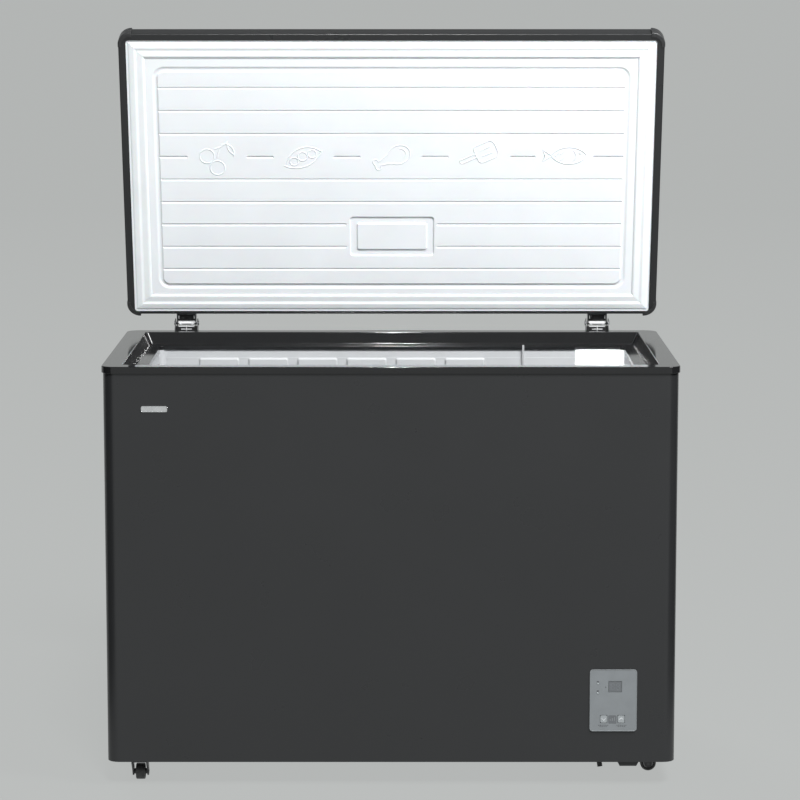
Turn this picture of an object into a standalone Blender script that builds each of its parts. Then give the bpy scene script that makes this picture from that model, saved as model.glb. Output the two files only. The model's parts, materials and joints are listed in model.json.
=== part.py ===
"""Chest freezer on four casters, with its lid standing open on two sprung hinges.

Metres, +Z up, the front faces -Y. Shapes are written in cabinet coordinates: x and y are measured from the
middle of the cabinet and z from the floor. The whole object is then shifted along Y, so that the origin lies
under the middle of its box, and the lid, modelled closed, is turned about its hinge pins.
"""
import math

import bmesh
import bpy
from mathutils import Matrix, Vector

GAP = 0.0003            # left between pieces that touch

# Cabinet
BODY_W = 1.094
BODY_D = 0.592
BODY_BOTTOM = 0.048
BODY_RADIUS = 0.024
SKIN = 0.0008           # painted sheet
REAR_SEAM = 0.240       # y where the side sheets meet the rear panel
HALF_W = BODY_W / 2
HALF_D = BODY_D / 2

# Top frame: the collar round the opening
FRAME_W = 1.100
FRAME_D = 0.598
FRAME_TOP = 0.816
FRAME_SKIRT = 0.013
FRAME_RADIUS = 0.026
FRAME_WALL = 0.0025
RIM_SIDE = 0.040        # width of the flat rim at the sides
RIM_END = 0.035         # and at the front and rear
SLOPE_SIDE = 0.0455     # distance from the edge to the foot of the slope
SLOPE_END = 0.042
LEDGE_SIDE = 0.073      # distance from the edge to the lip of the opening
LEDGE_END = 0.072
SLOPE_DROP = 0.025
LIP_DROP = 0.0345

# Liner, foam and compressor bay
LINER_T = 0.001
LINER_HALF_W = FRAME_W / 2 - LEDGE_SIDE + FRAME_WALL
LINER_HALF_D = FRAME_D / 2 - LEDGE_END + FRAME_WALL
LINER_TOP = FRAME_TOP - 0.030
LINER_FLOOR = 0.115
LINER_RADIUS = 0.016
STEP_X = 0.225          # the liner steps up over the compressor from here
STEP_Z = 0.358
COIL_GAP = 0.0083       # room for the evaporator tube round the liner
BAY_X = 0.285
BAY_TOP = 0.303
BAY_SHEET = 0.0012
BASE_PLATE = 0.002      # under the compressor
VENT_Y = (-0.170, 0.190)
VENT_Z = (0.075, 0.275)
VENT_SLOTS = 10
VENT_BORDER = 0.006     # the grille's flange beyond its hole

# Lid, in its closed place
LID_W = 1.101
LID_D = 0.604
LID_BOTTOM = 0.8205
LID_TOP = 0.872
LID_RADIUS = 0.024
LID_EDGE = 0.018        # radius round the top edge
LIP_SIDE = 0.015        # turned-in lip, seen round the white inner panel
LIP_FRONT = 0.0135
LIP_REAR = 0.0066
LIP_RADIUS = 0.006      # inner corner of the lip
LID_OPEN = math.radians(75)
PIVOT_Y = 0.325
PIVOT_Z = 0.828

# Hinges
HINGE_X = 0.429
PIN_R = 0.003
PIN_HOLE_R = 0.0034
LEAF_HALF = 0.020
BRACKET_HALF = 0.024
HINGE_SHEET = 0.0015

# Control panel
PANEL_X = 0.427
PANEL_Z = 0.170
PANEL_W = 0.0906
PANEL_H = 0.1214
PANEL_PROUD = 0.0022
PANEL_BACK = (0.0744, 0.1044)               # width and height of the housing behind the faceplate
PANEL_HOLE = (0.0760, 0.1060)               # and of its hole in the cabinet
WINDOW = (0.0034, 0.0272, 0.026, 0.022)      # x and z from the panel's middle, width, height
LAMP_X = -0.0298
LAMP_Z = (0.0327, 0.0145)
BUTTON_X = (-0.0182, 0.0154)
BUTTON_Z = -0.0364
BUTTON_W = 0.014
BUTTON_H = 0.015

# Casters: swivel x, swivel y, direction of the trail in degrees
CASTERS = {
    "front_left": (-0.487, -0.257, 90),
    "front_right": (0.487, -0.170, 0),
    "rear_left": (-0.487, 0.240, 0),
    "rear_right": (0.487, 0.240, 180),
}
WHEEL_R = 0.0155
WHEEL_HALF = 0.0088
TRAIL = 0.018
FORK_HALF = 0.015

# Drain
DRAIN_X = 0.160
DRAIN_Y = -0.170
STUB_X = 0.4045         # where the tube ends under the base plate
STUB_Y = -0.2670

# Distance from the middle of the cabinet to the rearmost point of the open lid, and half the lid's overhang
LID_REACH = (PIVOT_Y + (LID_D / 2 - LID_EDGE - PIVOT_Y) * math.cos(LID_OPEN)
             + (LID_TOP - LID_EDGE - PIVOT_Z) * math.sin(LID_OPEN) + LID_EDGE)
CABINET_Y = (FRAME_D / 2 - LID_REACH) / 2

# An outline's two axes and its depth along the third, put in the order x, y, z
AXIS_ORDER = {"x": (2, 0, 1), "y": (0, 2, 1), "z": (0, 1, 2)}


# ---------------------------------------------------------------- tools

def clear_scene():
    for item in list(bpy.data.objects):
        bpy.data.objects.remove(item, do_unlink=True)


def finish(name, colour, roughness, metallic=0.0):
    made = bpy.data.materials.new(name)
    made.use_nodes = True
    shader = made.node_tree.nodes["Principled BSDF"]
    shader.inputs["Base Color"].default_value = (*colour, 1.0)
    shader.inputs["Roughness"].default_value = roughness
    shader.inputs["Metallic"].default_value = metallic
    made.diffuse_color = (*colour, 1.0)
    return made


def empty(name, parent=None, location=(0, 0, 0), turn=(0, 0, 0)):
    made = bpy.data.objects.new(name, None)
    bpy.context.collection.objects.link(made)
    made.parent = parent
    made.location = location
    made.rotation_euler = turn
    return made


def add(name, mesh_data, parent, look=None):
    """An object from a bmesh, with its faces turned outward; a curve is added as it is."""
    if isinstance(mesh_data, bmesh.types.BMesh):
        bmesh.ops.recalc_face_normals(mesh_data, faces=mesh_data.faces)
        data = bpy.data.meshes.new(name)
        mesh_data.to_mesh(data)
        mesh_data.free()
        data.shade_smooth()
        data.set_sharp_from_angle(angle=math.radians(35))
    else:
        data = mesh_data
    made = bpy.data.objects.new(name, data)
    bpy.context.collection.objects.link(made)
    made.parent = parent
    if look:
        data.materials.append(look)
    return made


def boolean(target, operation, mesh_data):
    """Cut or fuse a bmesh with an object, through a hidden helper object."""
    helper = add(f"{target.name}_{operation.lower()}", mesh_data, target.parent)
    helper.hide_render = True
    helper.display_type = "WIRE"
    modifier = target.modifiers.new(operation.title(), "BOOLEAN")
    modifier.operation = operation
    modifier.solver = "EXACT"
    modifier.object = helper


def cut(target, mesh_data):
    boolean(target, "DIFFERENCE", mesh_data)


def fuse(target, mesh_data):
    boolean(target, "UNION", mesh_data)


def rounded(x0, x1, y0, y1, radius, z, steps=5):
    """Points of a rounded rectangle at height z, anticlockwise from above."""
    corners = ((x1 - radius, y1 - radius, 0), (x0 + radius, y1 - radius, 90),
               (x0 + radius, y0 + radius, 180), (x1 - radius, y0 + radius, 270))
    points = []
    for x, y, start in corners:
        for step in range(steps + 1):
            angle = math.radians(start + 90 * step / steps)
            points.append((x + radius * math.cos(angle), y + radius * math.sin(angle), z))
    return points


def loft(rings, closed=False):
    """Skin a row of rings of equal length. Closed joins the last to the first; else both ends are capped."""
    made = bmesh.new()
    rows = [[made.verts.new(point) for point in ring] for ring in rings]
    pairs = list(zip(rows, rows[1:]))
    if closed:
        pairs.append((rows[-1], rows[0]))
    for low, high in pairs:
        for i in range(len(low)):
            j = (i + 1) % len(low)
            made.faces.new((low[i], low[j], high[j], high[i]))
    if not closed:
        made.faces.new(list(reversed(rows[0])))
        made.faces.new(rows[-1])
    return made


def prism(outline, axis, start, end):
    """Extrude an outline, given in the other two axes in order, along one axis."""
    rings = []
    for depth in (start, end):
        rings.append([[(a, b, depth)[i] for i in AXIS_ORDER[axis]] for a, b in outline])
    return loft(rings)


def block(low, high):
    (x0, y0, z0), (x1, y1, z1) = low, high
    return prism([(x0, y0), (x1, y0), (x1, y1), (x0, y1)], "z", z0, z1)


def front_block(x, z, width, height, y_front, y_back):
    """A block in the cabinet's front, by its middle and its size."""
    return block((x - width / 2, y_front, z - height / 2), (x + width / 2, y_back, z + height / 2))


def rod(radius, start, end, steps, axis="z", centre=(0, 0, 0)):
    """A plain cylinder along an axis, between two heights."""
    return turned([(0, start), (radius, start), (radius, end), (0, end)], steps, axis, centre)


def merge(*parts):
    """Several bmeshes in one, for a cutter made of separate blocks."""
    whole = bmesh.new()
    for part in parts:
        data = bpy.data.meshes.new("part")
        part.to_mesh(data)
        part.free()
        whole.from_mesh(data)
        bpy.data.meshes.remove(data)
    return whole


def turned(profile, steps, axis="z", centre=(0, 0, 0)):
    """Revolve (radius, height) points about an axis. A profile that starts and ends at radius 0 is solid,
    any other is a closed ring."""
    made = bmesh.new()
    order = {"x": lambda r, a, h: (h, r * math.cos(a), r * math.sin(a)),
             "y": lambda r, a, h: (r * math.sin(a), h, r * math.cos(a)),
             "z": lambda r, a, h: (r * math.cos(a), r * math.sin(a), h)}[axis]
    rows = []
    for radius, height in profile:
        count = steps if radius > 0 else 1
        row = [Vector(order(radius, 2 * math.pi * i / steps, height)) + Vector(centre) for i in range(count)]
        rows.append([made.verts.new(point) for point in row])
    pairs = list(zip(rows, rows[1:]))
    if profile[0][0] > 0:
        pairs.append((rows[-1], rows[0]))
    for low, high in pairs:
        for i in range(steps):
            j = (i + 1) % steps
            corners = [low[i % len(low)], low[j % len(low)], high[j % len(high)], high[i % len(high)]]
            made.faces.new(list(dict.fromkeys(corners)))
    return made


def rounded_path(points, radius, steps):
    """A path through the points with its corners rounded by arcs of the given reach."""
    points = [Vector(point) for point in points]
    path = [points[0]]
    for before, corner, after in zip(points, points[1:], points[2:]):
        start = corner + (before - corner).normalized() * radius
        end = corner + (after - corner).normalized() * radius
        for step in range(steps + 1):
            t = step / steps
            path.append(start * (1 - t) ** 2 + corner * 2 * t * (1 - t) + end * t ** 2)
    return path + [points[-1]]


def tube(name, points, radius, parent, look, sides=6):
    data = bpy.data.curves.new(name, "CURVE")
    data.dimensions = "3D"
    data.bevel_depth = radius
    data.bevel_resolution = (sides - 4) // 2
    data.use_fill_caps = True
    line = data.splines.new("POLY")
    line.points.add(len(points) - 1)
    for spot, point in zip(line.points, points):
        spot.co = (*point, 1)
    return add(name, data, parent, look)


def arc(centre, radius, start, end, steps):
    angles = [math.radians(start + (end - start) * i / steps) for i in range(steps + 1)]
    return [(centre[0] + radius * math.cos(a), centre[1] + radius * math.sin(a)) for a in angles]


def end_plate(x0, x1, half_depth, radius):
    """Outline of a plate whose two corners at x1 are rounded, on either side of x0."""
    side = 1 if x1 > x0 else -1
    turn = radius * side
    lower = [(x1 - turn + side * x, -half_depth + radius + y) for x, y in arc((0, 0), radius, -90, 0, 5)]
    upper = [(x1 - turn + side * x, half_depth - radius + y) for x, y in arc((0, 0), radius, 0, 90, 5)]
    return [(x0, -half_depth)] + lower + upper + [(x0, half_depth)]


# ---------------------------------------------------------------- cabinet

def wrapper_outline(y_open, side):
    """Plan of the sheet round one end of the cabinet: side -1 is the front, 1 the rear."""
    outer, inner = [], []
    for inset, line in ((0, outer), (SKIN, inner)):
        radius = BODY_RADIUS - inset
        x, y = HALF_W - BODY_RADIUS, HALF_D - BODY_RADIUS
        line.append((-HALF_W + inset, y_open))
        line += [(-x - radius * math.cos(math.radians(a)), side * (y + radius * math.sin(math.radians(a))))
                 for a in range(0, 91, 15)]
        line += [(x + radius * math.sin(math.radians(a)), side * (y + radius * math.cos(math.radians(a))))
                 for a in range(0, 91, 15)]
        line.append((HALF_W - inset, y_open))
    return outer + inner[::-1]


def make_outer_shell(root, paint):
    top = FRAME_TOP - FRAME_WALL - 2 * GAP
    front = add("outer_cabinet", prism(wrapper_outline(REAR_SEAM, -1), "z", BODY_BOTTOM, top), root, paint)
    cut(front, front_block(PANEL_X, PANEL_Z, *PANEL_HOLE, -HALF_D - 0.01, -HALF_D + 0.01))
    cut(front, block((HALF_W - 0.01, VENT_Y[0], VENT_Z[0]), (HALF_W + 0.01, VENT_Y[1], VENT_Z[1])))
    add("rear_panel", prism(wrapper_outline(REAR_SEAM + GAP, 1), "z", BODY_BOTTOM, top), root, paint)


def make_floor_plates(root, steel, paint):
    inside_x = HALF_W - SKIN - GAP
    inside_y = HALF_D - SKIN - GAP
    radius = BODY_RADIUS - SKIN - GAP
    add("bottom_panel", prism(end_plate(BAY_X - GAP, -inside_x, inside_y, radius), "z",
                              BODY_BOTTOM, BODY_BOTTOM + 0.0012), root, steel)
    base = add("compressor_base_plate", prism(end_plate(BAY_X, inside_x, inside_y, radius), "z",
                                              BODY_BOTTOM, BODY_BOTTOM + BASE_PLATE), root, paint)
    boss = [(0.4355, BODY_BOTTOM + 0.001), (0.4785, BODY_BOTTOM + 0.001), (0.4730, 0.039), (0.4410, 0.039)]
    fuse(base, prism(boss, "y", -0.291, -0.240))
    cut(base, rod(0.008, 0.03, 0.07, 12, centre=(STUB_X - 0.0025, STUB_Y + 0.0025, 0)))


def make_foam(root, foam):
    wall = SKIN + GAP
    bottom, top = BODY_BOTTOM + 0.0018, FRAME_TOP - FRAME_WALL - 2 * GAP
    plan = (-HALF_W + wall, HALF_W - wall, -HALF_D + wall, HALF_D - wall, BODY_RADIUS - wall)
    made = add("cabinet_insulation", loft([rounded(*plan, bottom), rounded(*plan, top)]), root, foam)
    # Under the slope and the ledge of the top frame the foam stands lower
    side, end = FRAME_W / 2 - RIM_SIDE + 0.004, FRAME_D / 2 - RIM_END + 0.004
    cut(made, block((-side, -end, LINER_TOP), (side, end, top + 0.05)))
    # The hollow for the liner, with room for the evaporator tube round its walls
    half_w = LINER_HALF_W + LINER_T + COIL_GAP
    half_d = LINER_HALF_D + LINER_T + COIL_GAP
    floor, step = LINER_FLOOR - LINER_T - GAP, STEP_Z - LINER_T - GAP
    riser, chamfer = STEP_X + LINER_T + GAP, LINER_RADIUS + 0.0015
    hollow = [(-half_w, floor), (riser, floor), (riser, step - chamfer), (riser + chamfer, step),
              (half_w, step), (half_w, top + 0.02), (-half_w, top + 0.02)]
    cut(made, prism(hollow, "y", -half_d, half_d))
    cut(made, block((BAY_X - GAP, -0.4, 0), (0.7, 0.4, BAY_TOP + GAP)))
    cut(made, block((-0.50, HALF_D - wall - 0.0065, 0.33), (0.30, 0.4, 0.76)))
    # The channel of the drain tube: down from the liner's floor, then across to the compressor bay
    reach = 0.0105
    cut(made, block((DRAIN_X - reach, DRAIN_Y - reach, 0.0745), (BAY_X + 0.02, DRAIN_Y + reach, 0.0955)))
    cut(made, block((DRAIN_X - reach, DRAIN_Y - reach, 0.0760),
                    (DRAIN_X + reach, DRAIN_Y + reach, floor + 0.02)))


def make_bay_housing(root, steel):
    """The sheet that keeps the foam out of the compressor bay."""
    inside = HALF_W - SKIN - GAP
    made = add("compressor_bay_housing",
               prism(end_plate(BAY_X, inside, HALF_D - SKIN - GAP, BODY_RADIUS - SKIN - GAP), "z",
                     BAY_TOP - BAY_SHEET, BAY_TOP), root, steel)
    fuse(made, block((BAY_X, -HALF_D + 0.002, BODY_BOTTOM + BASE_PLATE + 0.0005),
                     (BAY_X + BAY_SHEET, HALF_D - 0.002, BAY_TOP - 0.0005)))
    cut(made, block((BAY_X - 0.01, DRAIN_Y - 0.008, 0.075), (BAY_X + 0.01, DRAIN_Y + 0.008, 0.091)))


def make_liner(root, sheet):
    """A tub with a step over the compressor: the hollow's own shape, thickened outward."""
    hollow = [(-LINER_HALF_W, LINER_FLOOR), (STEP_X, LINER_FLOOR), (STEP_X, STEP_Z), (LINER_HALF_W, STEP_Z),
              (LINER_HALF_W, LINER_TOP), (-LINER_HALF_W, LINER_TOP)]
    tub = prism(hollow, "y", -LINER_HALF_D, LINER_HALF_D)
    bmesh.ops.recalc_face_normals(tub, faces=tub.faces)
    top = [face for face in tub.faces if face.calc_center_median().z > LINER_TOP - 0.001]
    bmesh.ops.delete(tub, geom=top, context="FACES_ONLY")
    inner = [edge for edge in tub.edges if not edge.is_boundary]
    bmesh.ops.bevel(tub, geom=inner, offset=LINER_RADIUS, segments=3, profile=0.5, affect="EDGES")
    made = add("inner_liner", tub, root, sheet)
    thickness = made.modifiers.new("Sheet", "SOLIDIFY")
    thickness.thickness = LINER_T
    thickness.offset = 1
    thickness.use_even_offset = True
    cut(made, rod(0.0095, 0.10, 0.13, 16, centre=(DRAIN_X, DRAIN_Y, 0)))


def frame_ring(side, end, drop, radius):
    return rounded(-FRAME_W / 2 + side, FRAME_W / 2 - side, -FRAME_D / 2 + end, FRAME_D / 2 - end,
                   radius, FRAME_TOP - drop)


def make_top_frame(root, plastic):
    """One moulding: skirt, flat rim, sloped inner wall, ledge and lip."""
    t = FRAME_WALL
    rings = [
        frame_ring(0, 0, FRAME_SKIRT, FRAME_RADIUS),
        frame_ring(0, 0, 0.003, FRAME_RADIUS),
        frame_ring(0.0009, 0.0009, 0.0009, FRAME_RADIUS - 0.0009),
        frame_ring(0.003, 0.003, 0, FRAME_RADIUS - 0.003),
        frame_ring(RIM_SIDE - 0.0015, RIM_END - 0.0015, 0, 0.016),
        frame_ring(RIM_SIDE, RIM_END, 0.001, 0.015),
        frame_ring(SLOPE_SIDE, SLOPE_END, SLOPE_DROP, 0.012),
        frame_ring(LEDGE_SIDE - 0.001, LEDGE_END - 0.001, SLOPE_DROP + 0.0008, 0.019),
        frame_ring(LEDGE_SIDE, LEDGE_END, SLOPE_DROP + 0.0018, 0.018),
        frame_ring(LEDGE_SIDE, LEDGE_END, LIP_DROP, 0.018),
        frame_ring(LEDGE_SIDE - t + GAP, LEDGE_END - t + GAP, LIP_DROP, 0.018),
        frame_ring(LEDGE_SIDE - t + GAP, LEDGE_END - t + GAP, SLOPE_DROP + t, 0.018),
        frame_ring(SLOPE_SIDE - t, SLOPE_END - t, SLOPE_DROP + t, 0.014),
        frame_ring(RIM_SIDE - t, RIM_END - t, t, 0.017),
        frame_ring(t, t, t, FRAME_RADIUS - t),
        frame_ring(t, t, FRAME_SKIRT, FRAME_RADIUS - t),
    ]
    add("top_frame", loft(rings, closed=True), root, plastic)


def make_sensor_strip(root, plastic):
    """A channel cover on the back wall of the liner, which reaches up past the lip to the ledge."""
    wall, lip = LINER_HALF_D - GAP, FRAME_D / 2 - LEDGE_END - GAP
    front, lip_foot = lip - 0.0035, FRAME_TOP - LIP_DROP - 2 * GAP
    outline = [(wall, 0.410), (wall, lip_foot - 0.001), (lip, lip_foot), (lip, FRAME_TOP - SLOPE_DROP + 0.0025),
               (front, FRAME_TOP - SLOPE_DROP + 0.0025), (front, 0.410)]
    add("sensor_strip", prism(outline, "x", 0.2665, 0.2755), root, plastic)


def make_coils(root, copper):
    """The evaporator winds round the liner above the step; the condenser lies behind the rear panel."""
    reach = LINER_T + COIL_GAP / 2
    half_w, half_d = LINER_HALF_W + reach, LINER_HALF_D + reach
    turns, low, pitch = 5, 0.430, 0.066
    plan = rounded(-half_w, half_w, -half_d, half_d, 0.018, 0, steps=3)
    path = []
    for turn in range(turns):
        for i, (x, y, _) in enumerate(plan):
            path.append((x, y, low + pitch * (turn + i / len(plan))))
    tube("evaporator_coil", path, 0.0035, root, copper)
    y = HALF_D - SKIN - 0.0035
    runs, left, right, base, rise = 6, -0.46, 0.26, 0.36, 0.07
    path = []
    for run in range(runs):
        z = base + rise * run
        first, last = (left, right) if run % 2 == 0 else (right, left)
        path += [(first, y, z), (last, y, z)]
        if run < runs - 1:
            side = 1 if last == right else -1
            path += [(last + side * a, y, z + rise / 2 + b) for a, b in arc((0, 0), rise / 2, -60, 60, 4)]
    tube("condenser_coil", path, 0.0024, root, copper)


def make_compressor(root, black, copper, grey):
    x, y = 0.418, 0.060

    def oval(length, width, radius, z):
        return rounded(x - length / 2, x + length / 2, y - width / 2, y + width / 2, radius, z, steps=4)

    base = BODY_BOTTOM + BASE_PLATE + GAP
    shell = [oval(0.200, 0.130, 0.020, base), oval(0.200, 0.130, 0.020, base + 0.004),
             oval(0.120, 0.100, 0.048, base + 0.005), oval(0.162, 0.134, 0.066, base + 0.028),
             oval(0.170, 0.140, 0.069, base + 0.070), oval(0.180, 0.150, 0.074, base + 0.073),
             oval(0.180, 0.150, 0.074, base + 0.077), oval(0.168, 0.138, 0.068, base + 0.080),
             oval(0.156, 0.128, 0.063, base + 0.130), oval(0.110, 0.090, 0.044, base + 0.150),
             oval(0.040, 0.030, 0.014, base + 0.156)]
    add("compressor", loft(shell), root, black)
    back = y - 0.077
    relay = [rounded(x - 0.024, x + 0.024, back - 0.030, back, 0.006, z, steps=2) for z in (0.080, 0.118)]
    add("start_relay", loft(relay), root, grey)
    drier = [(0, 0), (0.003, 0), (0.009, 0.012), (0.009, 0.080), (0.003, 0.092), (0, 0.092)]
    add("filter_drier", turned(drier, 12, centre=(0.500, 0.200, 0.120)), root, copper)
    discharge = rounded_path([(0.455, 0.139, 0.150), (0.455, 0.170, 0.150), (0.500, 0.200, 0.245),
                              (0.500, 0.200, 0.2125)], 0.012, 4)
    tube("discharge_tube", discharge, 0.0028, root, copper)
    suction = rounded_path([(0.2885, 0.100, 0.240), (0.330, 0.100, 0.240), (0.418, 0.060, 0.250),
                            (0.418, 0.060, 0.2068)], 0.016, 4)
    tube("suction_tube", suction, 0.0038, root, copper)


def make_vent_grille(root, plastic):
    x, play = HALF_W, 0.0006
    (y0, y1), (z0, z1) = VENT_Y, VENT_Z
    grille = add("side_vent_grille", block((x - 0.006, y0 + play, z0 + play), (x + GAP, y1 - play, z1 - play)),
                 root, plastic)
    fuse(grille, block((x + GAP, y0 - VENT_BORDER, z0 - VENT_BORDER),
                       (x + 0.0018, y1 + VENT_BORDER, z1 + VENT_BORDER)))
    pitch = (z1 - z0) / VENT_SLOTS
    slots = []
    for i in range(VENT_SLOTS):
        low, high = z0 + pitch * (i + 0.3), z0 + pitch * (i + 0.7)
        slots.append(block((x - 0.02, y0 + 0.015, low), (x + 0.02, y1 - 0.015, high)))
    cut(grille, merge(*slots))


def make_drain(root, plug_axis, grey, black):
    plug = [(0, 0), (0.006, 0), (0.0085, 0.0035), (0.0085, 0.0106), (0.0175, 0.0106), (0.0185, 0.0122),
            (0.0165, 0.0152), (0.006, 0.0162), (0.006, 0.0220), (0, 0.0220)]
    add("drain_plug", turned(plug, 20), plug_axis, grey)
    corners = [(DRAIN_X, DRAIN_Y, 0.1040), (DRAIN_X, DRAIN_Y, 0.0840), (0.335, DRAIN_Y, 0.0820),
               (0.3985, -0.255, 0.0760), (0.4000, -0.262, 0.0600), (STUB_X, STUB_Y, 0.0320)]
    route = rounded_path(corners, 0.006, 3)
    tube("drain_tube", route, 0.005, root, black, sides=8)


# ---------------------------------------------------------------- front fittings

def front_plate(x0, x1, z0, z1, radius, y_front, y_back):
    """A rounded plate that stands upright on the front."""
    outline = [(x, y) for x, y, _ in rounded(x0, x1, z0, z1, radius, 0, steps=4)]
    return prism(outline, "y", y_front, y_back)


def make_control_panel(root, buttons, looks):
    face = -HALF_D - PANEL_PROUD - GAP
    back = -HALF_D - GAP
    x0, x1 = PANEL_X - PANEL_W / 2, PANEL_X + PANEL_W / 2
    z0, z1 = PANEL_Z - PANEL_H / 2, PANEL_Z + PANEL_H / 2
    panel = add("control_panel", front_plate(x0, x1, z0, z1, 0.006, face, back), root, looks["faceplate"])
    width, height = PANEL_BACK
    wall = 0.0022
    fuse(panel, front_block(PANEL_X, PANEL_Z, width, height, back - 0.0005, back + 0.014))
    cut(panel, front_block(PANEL_X, PANEL_Z, width - 2 * wall, height - 2 * wall, back + 0.0005, back + 0.03))
    # Holes for the window, the two buttons and the two lamps
    dx, dz, width, height = WINDOW
    through = (face - 0.01, back + 0.01)
    holes = [front_block(PANEL_X + dx, PANEL_Z + dz, width, height, *through)]
    for bx in BUTTON_X:
        holes.append(front_block(PANEL_X + bx, PANEL_Z + BUTTON_Z, BUTTON_W, BUTTON_H, *through))
    for lz in LAMP_Z:
        holes.append(rod(0.0024, *through, 12, "y", (PANEL_X + LAMP_X, 0, PANEL_Z + lz)))
    cut(panel, merge(*holes))
    play = 2 * GAP
    add("display_window", front_block(PANEL_X + dx, PANEL_Z + dz, width - 2 * play, height - 2 * play,
                                      face + 0.0004, back + 0.0030), root, looks["window"])
    for name, lz in zip(("indicator_lens_upper", "indicator_lens_lower"), LAMP_Z):
        lens = [(0, face - 0.0004), (0.0014, face - 0.0002), (0.0020, face + 0.0004), (0.0020, back + 0.003),
                (0, back + 0.003)]
        add(name, turned(lens, 12, "y", (PANEL_X + LAMP_X, 0, PANEL_Z + lz)), root, looks["lamp"])
    half_w, half_h = BUTTON_W / 2 - play, BUTTON_H / 2 - play
    for name, axis in buttons.items():
        add(name, front_plate(-half_w, half_w, -half_h, half_h, 0.002, -0.0004, 0.0050), axis, looks["button"])
    add("control_board", front_block(PANEL_X, PANEL_Z, 0.068, 0.098, back + 0.0090, back + 0.0106),
        root, looks["board"])


def make_badge(root, silver):
    y = -HALF_D - GAP
    add("badge", front_plate(-0.474, -0.424, 0.7292, 0.7408, 0.003, y - 0.0010, y), root, silver)


def make_cord_gland(root, black):
    """Where the mains lead leaves the rear panel, low at the compressor's end."""
    outline = [(0, HALF_D + GAP), (0.012, HALF_D + GAP), (0.012, HALF_D + 0.004), (0.008, HALF_D + 0.006),
               (0.0065, HALF_D + 0.014), (0, HALF_D + 0.014)]
    add("cord_gland", turned(outline, 16, "y", (0.360, 0, 0.110)), root, black)


# ---------------------------------------------------------------- casters

def make_caster(place, root, looks):
    x, y, angle = CASTERS[place]
    plate_top = BODY_BOTTOM - GAP

    def square(half, radius, z):
        return rounded(x - half, x + half, y - half, y + half, radius, z, steps=3)

    rings = [square(0.026, 0.004, plate_top), square(0.026, 0.004, plate_top - 0.002),
             square(0.014, 0.0139, plate_top - 0.0021), square(0.013, 0.0129, 0.0420)]
    add(f"caster_plate_{place}", loft(rings), root, looks["caster"])
    swivel = empty(f"caster_swivel_{place}", root, (x, y, 0), (0, 0, math.radians(angle)))
    cheek = [(-0.012, 0.0417), (0.014, 0.0417), (0.0245, 0.0190), (0.0232, 0.0105), (0.0205, 0.0080),
             (0.0155, 0.0080), (0.0125, 0.0105), (0.0105, 0.0180), (-0.012, 0.0385)]
    # In the swivel's frame the wheel trails along +X and its axle lies along Y
    fork = add(f"caster_fork_{place}", prism(cheek, "y", -FORK_HALF, FORK_HALF), swivel, looks["caster"])
    cut(fork, block((-0.05, -FORK_HALF + 0.0015, 0), (0.05, FORK_HALF - 0.0015, 0.0402)))
    cut(fork, rod(0.0026, -0.03, 0.03, 12, "y", (TRAIL, 0, WHEEL_R)))
    axle = empty(f"caster_axle_axis_{place}", swivel, (TRAIL, 0, WHEEL_R))
    # Half the wheel's profile: bore, hub, recessed web, rim and tread. The other half mirrors it
    side = [(0.0027, -0.0120), (0.0052, -0.0120), (0.0062, -0.0064), (0.0105, -0.0064), (0.0118, -WHEEL_HALF),
            (WHEEL_R - 0.0012, -WHEEL_HALF), (WHEEL_R, -WHEEL_HALF + 0.0012)]
    wheel = side + [(radius, -y) for radius, y in reversed(side)]
    add(f"caster_wheel_{place}", turned(wheel, 24, "y"), axle, looks["wheel"])
    head = FORK_HALF + GAP
    rivet = [(0, -head - 0.0014), (0.0036, -head - 0.0010), (0.0036, -head), (0.0022, -head), (0.0022, head),
             (0.0036, head), (0.0036, head + 0.0010), (0, head + 0.0014)]
    # The rivet stays with the fork while the wheel turns on it
    add(f"caster_axle_{place}", turned(rivet, 12, "y", (TRAIL, 0, WHEEL_R)), swivel, looks["caster"])


# ---------------------------------------------------------------- hinges

def pin_hole(x):
    return rod(PIN_HOLE_R, -0.05, 0.05, 16, "x", (x, PIVOT_Y, PIVOT_Z))


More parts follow.
